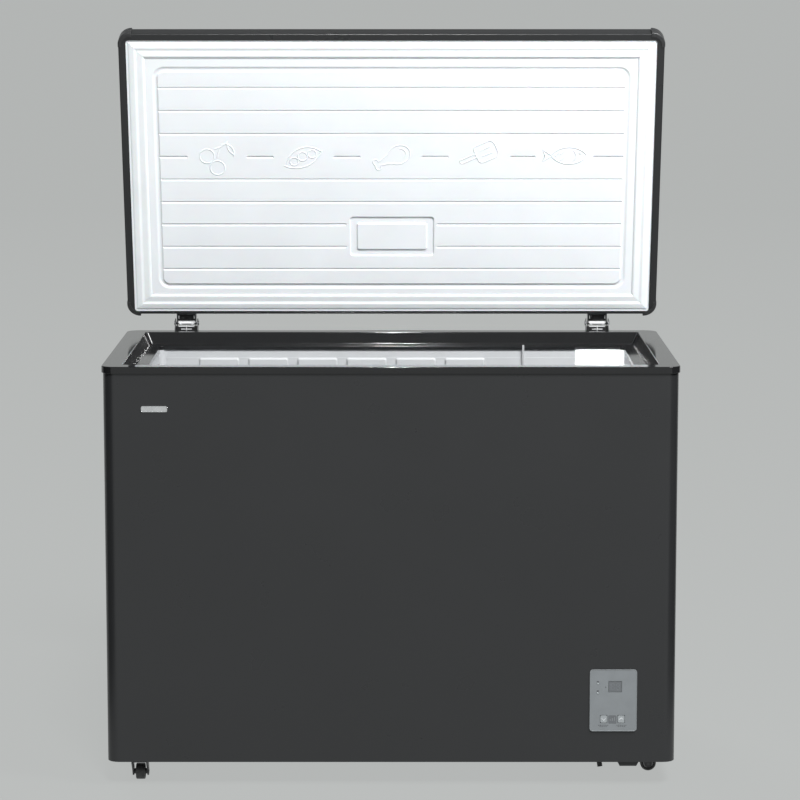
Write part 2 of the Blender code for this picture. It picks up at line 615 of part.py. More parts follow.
def make_hinge_bracket(side, x, root, zinc):
    back = HALF_D + 2 * GAP
    nose = arc((PIVOT_Y, PIVOT_Z), 0.0095, 0, 160, 6)
    cheek = [(back, 0.690), (0.3120, 0.690), (0.3330, 0.800), (0.3345, 0.820)] + nose + [
        (0.3105, 0.8220), (0.3045, 0.8150), (0.3000, 0.8130), (0.3000, 0.8020), (back, 0.8005)]
    bracket = add(f"hinge_bracket_{side}", prism(cheek, "x", x - BRACKET_HALF, x + BRACKET_HALF), root, zinc)
    inner = BRACKET_HALF - HINGE_SHEET
    # Between the cheeks only the web against the cabinet stays; a bottom tab and a cross bar are put back
    channel = [(back + HINGE_SHEET, 0.67), (0.40, 0.67), (0.40, 0.85), (back - 0.01, 0.85),
               (back - 0.01, 0.8004), (back + HINGE_SHEET, 0.8004)]
    cut(bracket, prism(channel, "x", x - inner, x + inner))
    fuse(bracket, block((x - inner - 0.0008, back + 0.0005, 0.7000), (x + inner + 0.0008, 0.3270, 0.7015)))
    fuse(bracket, block((x - inner - 0.0008, 0.3090, 0.8100), (x + inner + 0.0008, 0.3280, 0.8120)))
    rod_y = 0.3185
    fuse(bracket, rod(0.0024, 0.7008, 0.8110, 10, centre=(x, rod_y, 0)))
    cut(bracket, pin_hole(x))
    turns, steps, low, high, radius = 6, 10, 0.7034, 0.8080, 0.0065
    path = []
    for i in range(turns * steps + 1):
        angle = 2 * math.pi * i / steps
        path.append((x + radius * math.cos(angle), rod_y + radius * math.sin(angle),
                     low + (high - low) * i / (turns * steps)))
    tube(f"hinge_spring_{side}", path, 0.0011, root, zinc)
    head = BRACKET_HALF + GAP
    pin = [(0, -head - 0.0018), (0.0048, -head - 0.0012), (0.0048, -head), (PIN_R, -head), (PIN_R, head),
           (0.0048, head), (0.0048, head + 0.0012), (0, head + 0.0018)]
    add(f"hinge_pin_{side}", turned(pin, 16, "x", (x, PIVOT_Y, PIVOT_Z)), root, zinc)


def make_hinge_leaf(side, x, lid, zinc):
    face = LID_D / 2 + GAP
    nose = arc((PIVOT_Y, PIVOT_Z), 0.0070, -110, 60, 6)
    cheek = [(face, 0.8235)] + nose + [(face + 0.004, 0.8560), (face, 0.8560)]
    leaf = add(f"hinge_leaf_{side}", prism(cheek, "x", x - LEAF_HALF, x + LEAF_HALF), lid, zinc)
    inner = LEAF_HALF - HINGE_SHEET
    cut(leaf, block((x - inner, face + HINGE_SHEET, 0.80), (x + inner, 0.4, 0.9)))
    cut(leaf, pin_hole(x))


# ---------------------------------------------------------------- lid

def lid_ring(inset, z, radius, front=None, rear=None):
    front = inset if front is None else front
    rear = inset if rear is None else rear
    return rounded(-LID_W / 2 + inset, LID_W / 2 - inset, -LID_D / 2 + front, LID_D / 2 - rear, radius, z)


def lip_ring(inset, z, radius):
    """A ring measured inward from the inner edge of the lip."""
    return lid_ring(LIP_SIDE + inset, z, radius, LIP_FRONT + inset, LIP_REAR + inset)


def lid_crown(radius, steps):
    """The rings round the top edge, from the side wall up to the flat top."""
    centre = LID_TOP - LID_EDGE
    rings = []
    for step in range(steps + 1):
        angle = math.pi / 2 * step / steps
        reach = LID_EDGE - radius * math.cos(angle)
        rings.append(lid_ring(reach, centre + radius * math.sin(angle), max(LID_RADIUS - reach, 0.001)))
    return rings


def make_lid_shell(lid, paint):
    t = SKIN
    outer = [lip_ring(0, LID_BOTTOM, LIP_RADIUS), lid_ring(0.002, LID_BOTTOM, LID_RADIUS - 0.002),
             lid_ring(0, LID_BOTTOM + 0.002, LID_RADIUS)] + lid_crown(LID_EDGE, 5)
    inner = [lip_ring(0, LID_BOTTOM + t, LIP_RADIUS), lid_ring(t, LID_BOTTOM + t, LID_RADIUS - t)]
    inner += lid_crown(LID_EDGE - t, 5)
    add("lid_outer_panel", loft(inner[::-1] + outer), lid, paint)


def make_lid_insides(lid, looks):
    # The white panel: a formed sheet whose edge lies behind the lip, with a groove round its field
    face, sheet, groove = LID_BOTTOM + 0.0017, 0.0012, 0.003
    below = [lip_ring(-0.0045, face, 0.010), lip_ring(0.0515, face, 0.022),
             lip_ring(0.0530, face + groove, 0.021), lip_ring(0.0565, face + groove, 0.019),
             lip_ring(0.0580, face, 0.018)]
    above = [lip_ring(-0.0045, face + sheet, 0.010), lip_ring(0.0505, face + sheet, 0.023),
             lip_ring(0.0522, face + groove + sheet, 0.022), lip_ring(0.0573, face + groove + sheet, 0.018),
             lip_ring(0.0590, face + sheet, 0.017)]
    add("lid_inner_panel", loft(below[::-1] + above), lid, looks["white"])
    wall = SKIN + 2 * GAP
    base = face + groove + sheet + 0.0006
    foam = [lid_ring(wall, base, LID_RADIUS - wall)] + lid_crown(LID_EDGE - wall, 4)
    add("lid_insulation", loft(foam), lid, looks["foam"])
    # The gasket: two soft ribs with a valley between them
    top, low = face - GAP, FRAME_TOP + 0.0008
    section = [(0.006, top), (0.006, low + 0.0012), (0.0075, low), (0.0180, low), (0.0200, low + 0.0016),
               (0.0220, low), (0.0330, low), (0.0345, low + 0.0012), (0.0345, top)]
    rings = [lip_ring(inset, z, 0.004) for inset, z in section]
    add("lid_gasket", loft(rings, closed=True), lid, looks["gasket"])


def make_corner_cap(name, side_x, side_y, proud, lid, plastic):
    """A cap round one lower corner of the lid. It stands proud at the front or rear by the given amount."""
    reach, steps, side_proud = 0.003, 5, 0.0018
    cx, cy = LID_W / 2 - LID_RADIUS, LID_D / 2 - LID_RADIUS
    path = [((cx + LID_RADIUS, cy - reach), (1, 0), side_proud)]
    for step in range(steps + 1):
        angle = math.pi / 2 * step / steps
        normal = (math.cos(angle), math.sin(angle))
        at = (cx + LID_RADIUS * normal[0], cy + LID_RADIUS * normal[1])
        path.append((at, normal, side_proud + (proud - side_proud) * step / steps))
    path.append(((cx - reach, cy + LID_RADIUS), (0, 1), proud))
    low, top, under = LID_BOTTOM - GAP, LID_TOP - LID_EDGE - 0.001, 0.0015
    rings = []
    for (x, y), (nx, ny), t in path:
        section = [(-0.0060, low), (-0.0018, low), (GAP, LID_BOTTOM + 0.0018), (GAP, top), (t, top - 0.0008),
                   (t, low - under + 0.002), (t - 0.002, low - under), (-0.0060, low - under)]
        rings.append([(side_x * (x + nx * n), side_y * (y + ny * n), z) for n, z in section])
    add(name, loft(rings), lid, plastic)


# ---------------------------------------------------------------- the whole freezer

def main():
    clear_scene()
    looks = {
        "paint": finish("dark_paint", (0.042, 0.044, 0.047), 0.35),
        "frame": finish("frame_plastic", (0.05, 0.052, 0.055), 0.38),
        "liner": finish("liner_sheet", (0.62, 0.64, 0.66), 0.35, 0.4),
        "white": finish("white_plastic", (0.86, 0.87, 0.88), 0.4),
        "gasket": finish("gasket_rubber", (0.80, 0.81, 0.82), 0.6),
        "foam": finish("foam", (0.78, 0.68, 0.42), 0.9),
        "copper": finish("copper", (0.62, 0.34, 0.22), 0.35, 1.0),
        "steel": finish("galvanised_steel", (0.45, 0.46, 0.47), 0.45, 0.9),
        "hinge": finish("hinge_zinc", (0.66, 0.66, 0.67), 0.3, 1.0),
        "caster": finish("caster_zinc", (0.16, 0.16, 0.165), 0.4, 0.8),
        "black": finish("black_enamel", (0.02, 0.02, 0.02), 0.4),
        "grey": finish("grey_plastic", (0.30, 0.31, 0.32), 0.5),
        "cap": finish("cap_plastic", (0.055, 0.057, 0.06), 0.6),
        "faceplate": finish("faceplate_grey", (0.26, 0.28, 0.30), 0.4),
        "window": finish("display_window", (0.05, 0.055, 0.06), 0.15),
        "lamp": finish("lamp_lens", (0.55, 0.60, 0.58), 0.2),
        "button": finish("button_grey", (0.42, 0.44, 0.46), 0.5),
        "board": finish("circuit_board", (0.03, 0.16, 0.08), 0.5),
        "silver": finish("silver_badge", (0.75, 0.76, 0.77), 0.25, 0.9),
        "wheel": finish("wheel_nylon", (0.06, 0.06, 0.062), 0.5),
    }
    root = empty("cabinet_middle", location=(0, CABINET_Y, 0))
    make_outer_shell(root, looks["paint"])
    make_floor_plates(root, looks["steel"], looks["paint"])
    make_foam(root, looks["foam"])
    make_bay_housing(root, looks["steel"])
    make_liner(root, looks["liner"])
    make_top_frame(root, looks["frame"])
    make_sensor_strip(root, looks["white"])
    make_coils(root, looks["copper"])
    make_compressor(root, looks["black"], looks["copper"], looks["grey"])
    make_vent_grille(root, looks["black"])
    plug_axis = empty("drain_plug_axis", root, (DRAIN_X, DRAIN_Y, LINER_FLOOR - 0.0103))
    make_drain(root, plug_axis, looks["grey"], looks["black"])
    button_face = -HALF_D - PANEL_PROUD - GAP
    buttons = {name: empty(f"{name}_axis", root, (PANEL_X + x, button_face, PANEL_Z + BUTTON_Z))
               for name, x in zip(("button_left", "button_right"), BUTTON_X)}
    make_control_panel(root, buttons, looks)
    make_badge(root, looks["silver"])
    make_cord_gland(root, looks["black"])
    for place in CASTERS:
        make_caster(place, root, looks)

    lid_axis = empty("lid_axis", root, (0, PIVOT_Y, PIVOT_Z), (-LID_OPEN, 0, 0))
    lid = empty("lid_closed_place", lid_axis, (0, -PIVOT_Y, -PIVOT_Z))
    for side, x in (("left", -HINGE_X), ("right", HINGE_X)):
        make_hinge_bracket(side, x, root, looks["hinge"])
        make_hinge_leaf(side, x, lid, looks["hinge"])
    make_lid_shell(lid, looks["paint"])
    make_lid_insides(lid, looks)
    for row, side_y, proud in (("front", -1, 0.0038), ("rear", 1, 0.0040)):
        for side, side_x in (("left", -1), ("right", 1)):
            make_corner_cap(f"lid_corner_cap_{row}_{side}", side_x, side_y, proud, lid, looks["cap"])
    bpy.context.view_layer.update()


main()
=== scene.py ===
"""Looks of the chest freezer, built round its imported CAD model.

Metres, +Z up, the front faces -Y. Shapes are written in cabinet coordinates, where y is measured from the
middle of the cabinet. CABINET puts them in the model's frame. The lid's shapes are written with the lid
closed, and LID puts them in their open place.
"""
import json
from math import atan2, ceil, copysign, cos, hypot, pi, radians, sin

import bmesh
import bpy
from mathutils import Matrix, Vector

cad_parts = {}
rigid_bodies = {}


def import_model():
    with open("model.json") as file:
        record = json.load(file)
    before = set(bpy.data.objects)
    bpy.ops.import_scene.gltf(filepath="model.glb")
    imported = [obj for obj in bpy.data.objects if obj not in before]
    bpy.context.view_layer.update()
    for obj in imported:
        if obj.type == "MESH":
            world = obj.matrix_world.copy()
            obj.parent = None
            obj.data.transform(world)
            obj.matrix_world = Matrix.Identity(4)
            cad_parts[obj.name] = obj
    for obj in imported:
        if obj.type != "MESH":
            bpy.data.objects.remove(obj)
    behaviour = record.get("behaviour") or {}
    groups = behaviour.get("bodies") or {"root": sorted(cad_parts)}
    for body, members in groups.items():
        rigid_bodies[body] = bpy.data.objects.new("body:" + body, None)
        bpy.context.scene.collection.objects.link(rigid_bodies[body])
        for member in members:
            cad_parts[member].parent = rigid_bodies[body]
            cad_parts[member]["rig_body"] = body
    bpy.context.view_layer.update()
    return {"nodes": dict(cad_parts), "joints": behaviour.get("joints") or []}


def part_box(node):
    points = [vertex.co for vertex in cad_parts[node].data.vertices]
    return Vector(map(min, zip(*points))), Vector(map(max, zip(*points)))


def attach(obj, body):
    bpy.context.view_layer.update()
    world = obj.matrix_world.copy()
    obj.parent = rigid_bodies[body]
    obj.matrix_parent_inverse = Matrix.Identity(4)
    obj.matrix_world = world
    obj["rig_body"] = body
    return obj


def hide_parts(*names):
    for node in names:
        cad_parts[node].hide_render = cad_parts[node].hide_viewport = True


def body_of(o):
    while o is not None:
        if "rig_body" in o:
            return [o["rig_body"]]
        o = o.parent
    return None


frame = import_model()

# ---- places, worked out from the frame

HINGE = next(joint for joint in frame["joints"] if joint["name"] == "lid_hinge")
PIVOT = Vector(HINGE["pos_m"])
OPEN = radians(max(abs(limit) for limit in HINGE["range_deg"]))
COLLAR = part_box("top_frame")
CABINET = Matrix.Translation((0, (COLLAR[0].y + COLLAR[1].y) / 2, 0))
LID = Matrix.Translation(PIVOT) @ Matrix.Rotation(-OPEN, 4, "X") @ Matrix.Translation(-PIVOT) @ CABINET


def local_box(node, place=CABINET):
    """Lowest corner, highest corner and middle of a CAD node, in cabinet or closed-lid coordinates."""
    back = place.inverted()
    points = [back @ vertex.co for vertex in frame["nodes"][node].data.vertices]
    low = Vector([min(point[i] for point in points) for i in range(3)])
    high = Vector([max(point[i] for point in points) for i in range(3)])
    return low, high, (low + high) / 2


GAP = 0.0003            # left between pieces that touch
BODY_LOW, BODY_HIGH, _ = local_box("outer_cabinet")
HALF_W = BODY_HIGH.x
HALF_D = -BODY_LOW.y
BODY_BOTTOM = BODY_LOW.z
BODY_TOP = BODY_HIGH.z
BODY_RADIUS = 0.024
SKIN = 0.0008
REAR_SEAM = local_box("rear_panel")[0].y - GAP

# Collar round the opening
FRAME_HALF_W = COLLAR[1].x
FRAME_HALF_D = (COLLAR[1].y - COLLAR[0].y) / 2
FRAME_TOP = COLLAR[1].z
FRAME_SKIRT = 0.013
FRAME_RADIUS = 0.026
# Distance from the outer edge, at the sides and at the front and rear
EDGE = (0, 0)
RIM = (0.04, 0.035)         # end of the flat rim
SLOPE = (0.051, 0.042)      # foot of the slope
LEDGE = (0.073, 0.072)      # lip of the opening
SLOPE_DROP = 0.0242
LIP_DROP = 0.0326

# Liner
LINER_LOW, LINER_HIGH, _ = local_box("inner_liner")
LINER_T = 0.001
LINER_HALF_W = LINER_HIGH.x - LINER_T
LINER_HALF_D = LINER_HIGH.y - LINER_T
LINER_TOP = FRAME_TOP - LIP_DROP - GAP
LINER_FLOOR = LINER_LOW.z + LINER_T
LINER_RADIUS = 0.016
STEP_X = 0.225
STEP_Z = 0.358

# Lid, closed
LID_LOW, LID_HIGH, _ = local_box("lid_outer_panel", LID)
LID_HALF_W = LID_HIGH.x
LID_HALF_D = LID_HIGH.y
LID_BOTTOM = LID_LOW.z
LID_TOP = LID_HIGH.z
LID_RADIUS = 0.024
LID_EDGE = 0.018
LIP = (0.015, 0.0135, 0.0066)       # the turned-in lip at the sides, the front and the rear
LIP_RADIUS = 0.006
LINING_LOW, LINING_HIGH, _ = local_box("lid_inner_panel", LID)
FACE = LINING_LOW.z                 # the lining's visible face
FIELD = (-0.474, -0.2235, 0.474, 0.2357)      # x0, y0, x1, y1 inside the border groove
FIELD_RADIUS = 0.014
RING_OUTER = (-0.0856, 0.0881, 0.0869, 0.1728)
RING_INNER = (-0.071, 0.1025, 0.0723, 0.1593)

# Control panel
PANEL_LOW, PANEL_HIGH, PANEL_MIDDLE = local_box("control_panel")

LOOKS = {}              # finishes by short name, filled in by make_looks
STUDIO_GREY = (0.455, 0.468, 0.462)


# ---- tools

def rounded(x0, x1, y0, y1, radius, z, steps=12):
    """Points of a rounded rectangle at height z, anticlockwise from above."""
    corners = ((x1 - radius, y1 - radius, 0), (x0 + radius, y1 - radius, 90),
               (x0 + radius, y0 + radius, 180), (x1 - radius, y0 + radius, 270))
    points = []
    for x, y, start in corners:
        for step in range(steps + 1):
            angle = radians(start + 90 * step / steps)
            points.append((x + radius * cos(angle), y + radius * sin(angle), z))
    return points


def loft(rings, closed=False, into=None):
    """Skin a row of rings of equal length. Closed joins the last to the first; else both ends are capped."""
    made = into or bmesh.new()
    rows = [[made.verts.new(point) for point in ring] for ring in rings]
    pairs = list(zip(rows, rows[1:]))
    if closed:
        pairs.append((rows[-1], rows[0]))
    for low, high in pairs:
        for i in range(len(low)):
            j = (i + 1) % len(low)
            made.faces.new((low[i], low[j], high[j], high[i]))
    if not closed:
        made.faces.new(list(reversed(rows[0])))
        made.faces.new(rows[-1])
    return made


AXIS_ORDER = {"x": (2, 0, 1), "y": (0, 2, 1), "z": (0, 1, 2)}


def prism(outline, axis, start, end, into=None):
    """Extrude an outline, given in the other two axes in order, along one axis."""
    rings = []
    for depth in (start, end):
        rings.append([[(a, b, depth)[i] for i in AXIS_ORDER[axis]] for a, b in outline])
    return loft(rings, into=into)


def plate(x0, x1, z0, z1, radius, y0, y1, into=None, steps=6):
    """A rounded plate that stands upright, facing the front or the rear."""
    outline = [(x, y) for x, y, _ in rounded(x0, x1, z0, z1, radius, 0, steps)]
    return prism(outline, "y", y0, y1, into)


def upright_ring(low, high, inset, y, radius, steps):
    """A rounded outline that stands upright at depth y, inset from a box."""
    outline = rounded(low.x + inset, high.x - inset, low.z + inset, high.z - inset, radius, 0, steps)
    return [(x, y, z) for x, z, _ in outline]


def turned(profile, steps, axis, centre, into=None):
    """Revolve (radius, height) points about an axis. A profile that starts and ends at radius 0 is solid."""
    made = into or bmesh.new()
    order = {"x": lambda r, a, h: (h, r * cos(a), r * sin(a)),
             "y": lambda r, a, h: (r * sin(a), h, r * cos(a)),
             "z": lambda r, a, h: (r * cos(a), r * sin(a), h)}[axis]
    rows = []
    for radius, height in profile:
        count = steps if radius > 0 else 1
        row = [Vector(order(radius, 2 * pi * i / steps, height)) + Vector(centre) for i in range(count)]
        rows.append([made.verts.new(point) for point in row])
    pairs = list(zip(rows, rows[1:]))
    if profile[0][0] > 0:
        pairs.append((rows[-1], rows[0]))
    for low, high in pairs:
        for i in range(steps):
            j = (i + 1) % steps
            corners = [low[i % len(low)], low[j % len(low)], high[j % len(high)], high[i % len(high)]]
            made.faces.new(list(dict.fromkeys(corners)))
    return made


def arc(cx, cy, radius, start, end, steps, squeeze=1.0):
    """Points from one angle to another, in degrees. Squeeze flattens the arc upright."""
    angles = [radians(start + (end - start) * i / steps) for i in range(steps + 1)]
    return [(cx + radius * cos(a), cy + radius * squeeze * sin(a)) for a in angles]


def add_object(name, data):
    """A new object in the scene."""
    item = bpy.data.objects.new(name, data)
    bpy.context.collection.objects.link(item)
    return item


def add_mesh(name, made):
    """A new object with the mesh of a bmesh, which is used up."""
    data = bpy.data.meshes.new(name)
    made.to_mesh(data)
    made.free()
    return add_object(name, data)


def modify(item, name, kind, **settings):
    """Add a modifier to an object."""
    made = item.modifiers.new(name, kind)
    for setting, value in settings.items():
        setattr(made, setting, value)
    return made


def piece(name, made, look, body="cabinet", place=CABINET, stands_for=None, bevel=0.0, angle=30):
    """One visible piece: a mesh in its place, riding on a body, with smooth shading up to an angle.

    Its slot is the one that its finish is named after.
    """
    bmesh.ops.recalc_face_normals(made, faces=made.faces)
    made.transform(place)
    item = add_mesh(name, made)
    item.data.shade_smooth()
    item.data.set_sharp_from_angle(angle=radians(angle))
    item.data.materials.append(LOOKS[look])
    if bevel:
        modify(item, "Edges", "BEVEL", width=bevel, segments=3, limit_method="ANGLE", angle_limit=radians(angle))
    modify(item, "Normals", "WEIGHTED_NORMAL", keep_sharp=True)
    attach(item, body)
    if stands_for:
        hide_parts(stands_for)
    return item


def dress(nodes, look, angle=32):
    """Give CAD nodes a finish and smooth shading."""
    for node in nodes:
        item = frame["nodes"][node]
        for index in range(len(item.data.materials)):
            item.data.materials[index] = LOOKS[look]
        item.data.shade_smooth()
        modify(item, "Weld", "WELD", merge_threshold=0.00001)
        modify(item, "Creases", "EDGE_SPLIT", split_angle=radians(angle))
        modify(item, "Normals", "WEIGHTED_NORMAL")


def carve(item, cutters):
    """Cut bmeshes, in cabinet coordinates, out of a piece for good."""
    for cutter in cutters:
        bmesh.ops.recalc_face_normals(cutter, faces=cutter.faces)
        cutter.transform(CABINET)
        helper = add_mesh("cutter", cutter)
        hole = modify(item, "Hole", "BOOLEAN", operation="DIFFERENCE", solver="EXACT", object=helper)
        others = [modifier for modifier in item.modifiers if modifier != hole]
        for modifier in others:
            modifier.show_viewport = False
        bpy.context.view_layer.update()
        shape = item.evaluated_get(bpy.context.evaluated_depsgraph_get())
        carved = bpy.data.meshes.new_from_object(shape)
        item.modifiers.remove(hole)
        for modifier in others:
            modifier.show_viewport = True
        item.data = carved
        bpy.data.objects.remove(helper, do_unlink=True)
    item.data.shade_smooth()
    item.data.set_sharp_from_angle(angle=radians(30))


# ---- finishes

def wire(tree, node, inputs):
    """Link each input that is given another node's output, and set the others."""
    for name, value in inputs.items():
        if isinstance(value, bpy.types.NodeSocket):
            tree.links.new(value, node.inputs[name])
        else:
            node.inputs[name].default_value = value


def add(tree, kind, inputs, output):
    """Make a shader node, set up its inputs, and give the named output."""
    node = tree.nodes.new(kind)
    wire(tree, node, inputs)
    return node.outputs[output]


def two_tone(tree, source, colour, stops, shades):
    """A colour that runs from one shade to another between two stops of the source."""
    tone = add(tree, "ShaderNodeValToRGB", {"Fac": source}, "Color")
    for stop, at, shade in zip(tone.node.color_ramp.elements, stops, shades):
        stop.position = at
        stop.color = (*[min(1.0, channel * shade) for channel in colour], 1.0)
    return tone


def coordinate(tree, space, axis):
    """One coordinate of the shaded point."""
    place = add(tree, "ShaderNodeTexCoord", {}, space)
    return add(tree, "ShaderNodeSeparateXYZ", {"Vector": place}, axis)


def finish(name, colour, roughness, mottle, patch, metallic=0.0, grain=None, spread=0.05, coat=0.0, wear=0.0,
           subsurface=0.0):
    """A moulded, painted or plated surface: soft patches of colour, uneven gloss, fine relief, rubbed edges.

    Mottle is how far the patches stray from the colour, patch is their size, and grain is the relief's depth
    and size.
    """
    look = bpy.data.materials.new(name)
    look.use_nodes = True
    tree = look.node_tree
    place = add(tree, "ShaderNodeTexCoord", {}, "Object")

    def noise(size, detail):
        return add(tree, "ShaderNodeTexNoise", {"Vector": place, "Scale": 1 / size, "Detail": detail}, "Fac")

    def spread_of(source, low, high):
        ends = {"From Min": 0.3, "From Max": 0.7, "To Min": low, "To Max": high}
        return add(tree, "ShaderNodeMapRange", {"Value": source, **ends}, "Result")

    tint = two_tone(tree, noise(patch, 3.0), colour, (0.3, 0.7), (1 - mottle, 1 + mottle))
    if wear:
        pointed = add(tree, "ShaderNodeNewGeometry", {}, "Pointiness")
        edge = add(tree, "ShaderNodeMapRange", {"Value": pointed, "From Min": 0.52, "From Max": 0.6}, "Result")
        scuffs = add(tree, "ShaderNodeMath", {0: edge, 1: spread_of(noise(0.006, 4.0), 0.0, wear)}, "Value")
        scuffs.node.operation = "MULTIPLY"
        rubbed = (*[min(1.0, channel * 1.6 + 0.05) for channel in colour], 1.0)
        tint = add(tree, "ShaderNodeMixRGB", {"Fac": scuffs, "Color1": tint, "Color2": rubbed}, "Color")
    gloss = spread_of(noise(patch / 4, 4.0), max(0.02, roughness - spread), roughness + spread)
    inputs = {"Base Color": tint, "Roughness": gloss, "Metallic": metallic, "Coat Weight": coat,
              "Coat Roughness": 0.08}
    if grain:
        depth, size = grain
        relief = {"Strength": 0.6, "Distance": depth, "Height": noise(size, 2.0)}
        inputs["Normal"] = add(tree, "ShaderNodeBump", relief, "Normal")
    if subsurface:
        inputs |= {"Subsurface Weight": subsurface, "Subsurface Scale": 0.004}
    wire(tree, tree.nodes["Principled BSDF"], inputs)
    return look


def make_looks():
    """Every finish. Pieces and dressed nodes ask for it by its short name."""
    LOOKS.update(
        # name, colour, roughness, mottle, patch
        paint=finish("dark_paint", (0.0183, 0.019, 0.0201), 0.3, 0.03, 0.3, grain=(0.00002, 0.0022), spread=0.03),
        frame=finish("frame_plastic", (0.0105, 0.0108, 0.0114), 0.085, 0.03, 0.1, grain=(0.00001, 0.0016),
            spread=0.012),
        liner=finish("liner_sheet", (0.47, 0.483, 0.495), 0.36, 0.03, 0.1, grain=(0.00003, 0.004)),
        white=finish("white_plastic", (0.845, 0.874, 0.903), 0.42, 0.02, 0.12, grain=(0.00002, 0.0014),
            subsurface=0.08),
        gasket=finish("gasket_rubber", (0.86, 0.883, 0.905), 0.55, 0.03, 0.05, grain=(0.00003, 0.0009),
            subsurface=0.1),
        rail=finish("white_plastic", (0.4, 0.41, 0.42), 0.42, 0.05, 0.01, grain=(0.00002, 0.0014)),
        foam=finish("foam", (0.74, 0.62, 0.36), 0.9, 0.12, 0.03, grain=(0.0006, 0.003)),
        copper=finish("copper", (0.72, 0.36, 0.22), 0.3, 0.18, 0.02, metallic=1.0, spread=0.12),
        steel=finish("galvanised_steel", (0.5, 0.51, 0.52), 0.38, 0.18, 0.018, metallic=0.95, grain=(0.00002,
            0.006), spread=0.14),
        hinge=finish("hinge_zinc", (0.13, 0.132, 0.136), 0.38, 0.1, 0.01, metallic=1.0, grain=(0.00001, 0.001),
            spread=0.08, wear=0.5),
        # Pale zinc: a lit copy of the hinge zinc. Its light, mostly diffuse colour paints the highlights on the
        # hinge's barrel, arms, pins and stops
        chrome=finish("hinge_zinc", (0.8, 0.81, 0.82), 0.2, 0.05, 0.008, metallic=0.35, spread=0.05),
        zinc=finish("caster_zinc", (0.06, 0.06, 0.062), 0.42, 0.2, 0.008, metallic=1.0, spread=0.12, wear=0.5),
        enamel=finish("compressor_black", (0.012, 0.012, 0.013), 0.28, 0.15, 0.03, grain=(0.00006, 0.003),
            wear=0.5),
        black=finish("black_plastic", (0.009, 0.009, 0.0095), 0.42, 0.1, 0.02, grain=(0.00004, 0.0009)),
        grey=finish("grey_plastic", (0.3, 0.31, 0.32), 0.45, 0.06, 0.02, grain=(0.00004, 0.001)),
        cap=finish("cap_plastic", (0.024, 0.0246, 0.0255), 0.4, 0.25, 0.003, grain=(0.00012, 0.0013), wear=0.5),
        faceplate=finish("faceplate_grey", (0.184, 0.198, 0.208), 0.34, 0.04, 0.02, grain=(0.00002, 0.0007)),
        trim=finish("faceplate_trim", (0.184, 0.197, 0.206), 0.46, 0.05, 0.01),
        display=finish("display", (0.112, 0.12, 0.128), 0.2, 0.06, 0.02, spread=0.03, coat=0.5),
        segments=finish("display_segments", (0.15, 0.165, 0.178), 0.2, 0.05, 0.01),
        lamp=finish("lamp_lens", (0.34, 0.37, 0.38), 0.25, 0.06, 0.004),
        button=finish("button_grey", (0.27, 0.29, 0.3), 0.42, 0.05, 0.006, grain=(0.00002, 0.0005)),
        mark=finish("dark_print", (0.07, 0.074, 0.079), 0.4, 0.1, 0.003),
        ink=finish("pale_print", (0.6, 0.62, 0.63), 0.4, 0.1, 0.003),
        board=finish("circuit_board", (0.03, 0.16, 0.08), 0.45, 0.2, 0.006),
        silver=finish("badge_silver", (0.78, 0.79, 0.8), 0.24, 0.06, 0.01, metallic=0.9),
        nylon=finish("wheel_nylon", (0.03, 0.03, 0.031), 0.45, 0.15, 0.006, grain=(0.00004, 0.0008), wear=0.4),
        hub=finish("wheel_hub", (0.3, 0.3, 0.31), 0.4, 0.1, 0.005),
    )


# ---- cabinet

def wrapper_outline(y_open, side):
    """Plan of the sheet round one end of the cabinet: side -1 is the front, 1 the rear."""
    outer, inner = [], []
    x, y = HALF_W - BODY_RADIUS, HALF_D - BODY_RADIUS
    for inset, line in ((0, outer), (SKIN, inner)):
        radius = BODY_RADIUS - inset
        line.append((-HALF_W + inset, y_open))
        line += [(-x + a, side * (y + b)) for a, b in arc(0, 0, radius, 180, 90, 12)]
        line += [(x + a, side * (y + b)) for a, b in arc(0, 0, radius, 90, 0, 12)]
        line.append((HALF_W - inset, y_open))
    return outer + inner[::-1]


def make_cabinet():
    """The sheet round the front and sides, with holes for panel and grille, and the sheet at the rear."""
    wrap = prism(wrapper_outline(REAR_SEAM, -1), "z", BODY_BOTTOM, BODY_TOP)
    shell = piece("cabinet_shell", wrap, "paint", stands_for="outer_cabinet")
    low, high, _ = local_box("side_vent_grille")
    cover = 0.01        # each hole ends this far inside what covers it
    panel_hole = plate(PANEL_LOW.x + cover, PANEL_HIGH.x - cover, PANEL_LOW.z + cover, PANEL_HIGH.z - cover, 0.002,
                       -HALF_D - cover, -HALF_D + cover)
    y0, y1, z0, z1 = low.y + cover, high.y - cover, low.z + cover, high.z - cover
    side_hole = prism([(y0, z0), (y1, z0), (y1, z1), (y0, z1)], "x", HALF_W - cover, HALF_W + cover)
    carve(shell, [panel_hole, side_hole])
    wrap = prism(wrapper_outline(REAR_SEAM + GAP, 1), "z", BODY_BOTTOM, BODY_TOP)
    piece("rear_sheet", wrap, "paint", stands_for="rear_panel")
    # Screws along both seams of the rear sheet and along its foot
    screws = bmesh.new()
    head = [(0, 0.0011), (0.0016, 0.001), (0.003, 0.0006), (0.0036, 0), (0.0036, -0.0004), (0, -0.0004)]
    for i in range(5):
        z = BODY_BOTTOM + 0.04 + i * (BODY_TOP - BODY_BOTTOM - 0.09) / 4
        for side in (-1, 1):
            outline = [(radius, side * (HALF_W + height)) for radius, height in head]
            turned(outline, 16, "x", (0, REAR_SEAM + 0.01, z), screws)
    for i in range(7):
        outline = [(radius, HALF_D + height) for radius, height in head]
        turned(outline, 16, "y", (-0.45 + 0.15 * i, 0, BODY_BOTTOM + 0.012), screws)
    piece("rear_sheet_screws", screws, "zinc")


def frame_ring(base, shift, drop, radius):
    """A ring at a distance from the collar's edge, given for sides and ends, plus a shift inward."""
    side, end = base[0] + shift, base[1] + shift
    return rounded(-FRAME_HALF_W + side, FRAME_HALF_W - side, -FRAME_HALF_D + end, FRAME_HALF_D - end, radius,
                   FRAME_TOP - drop)


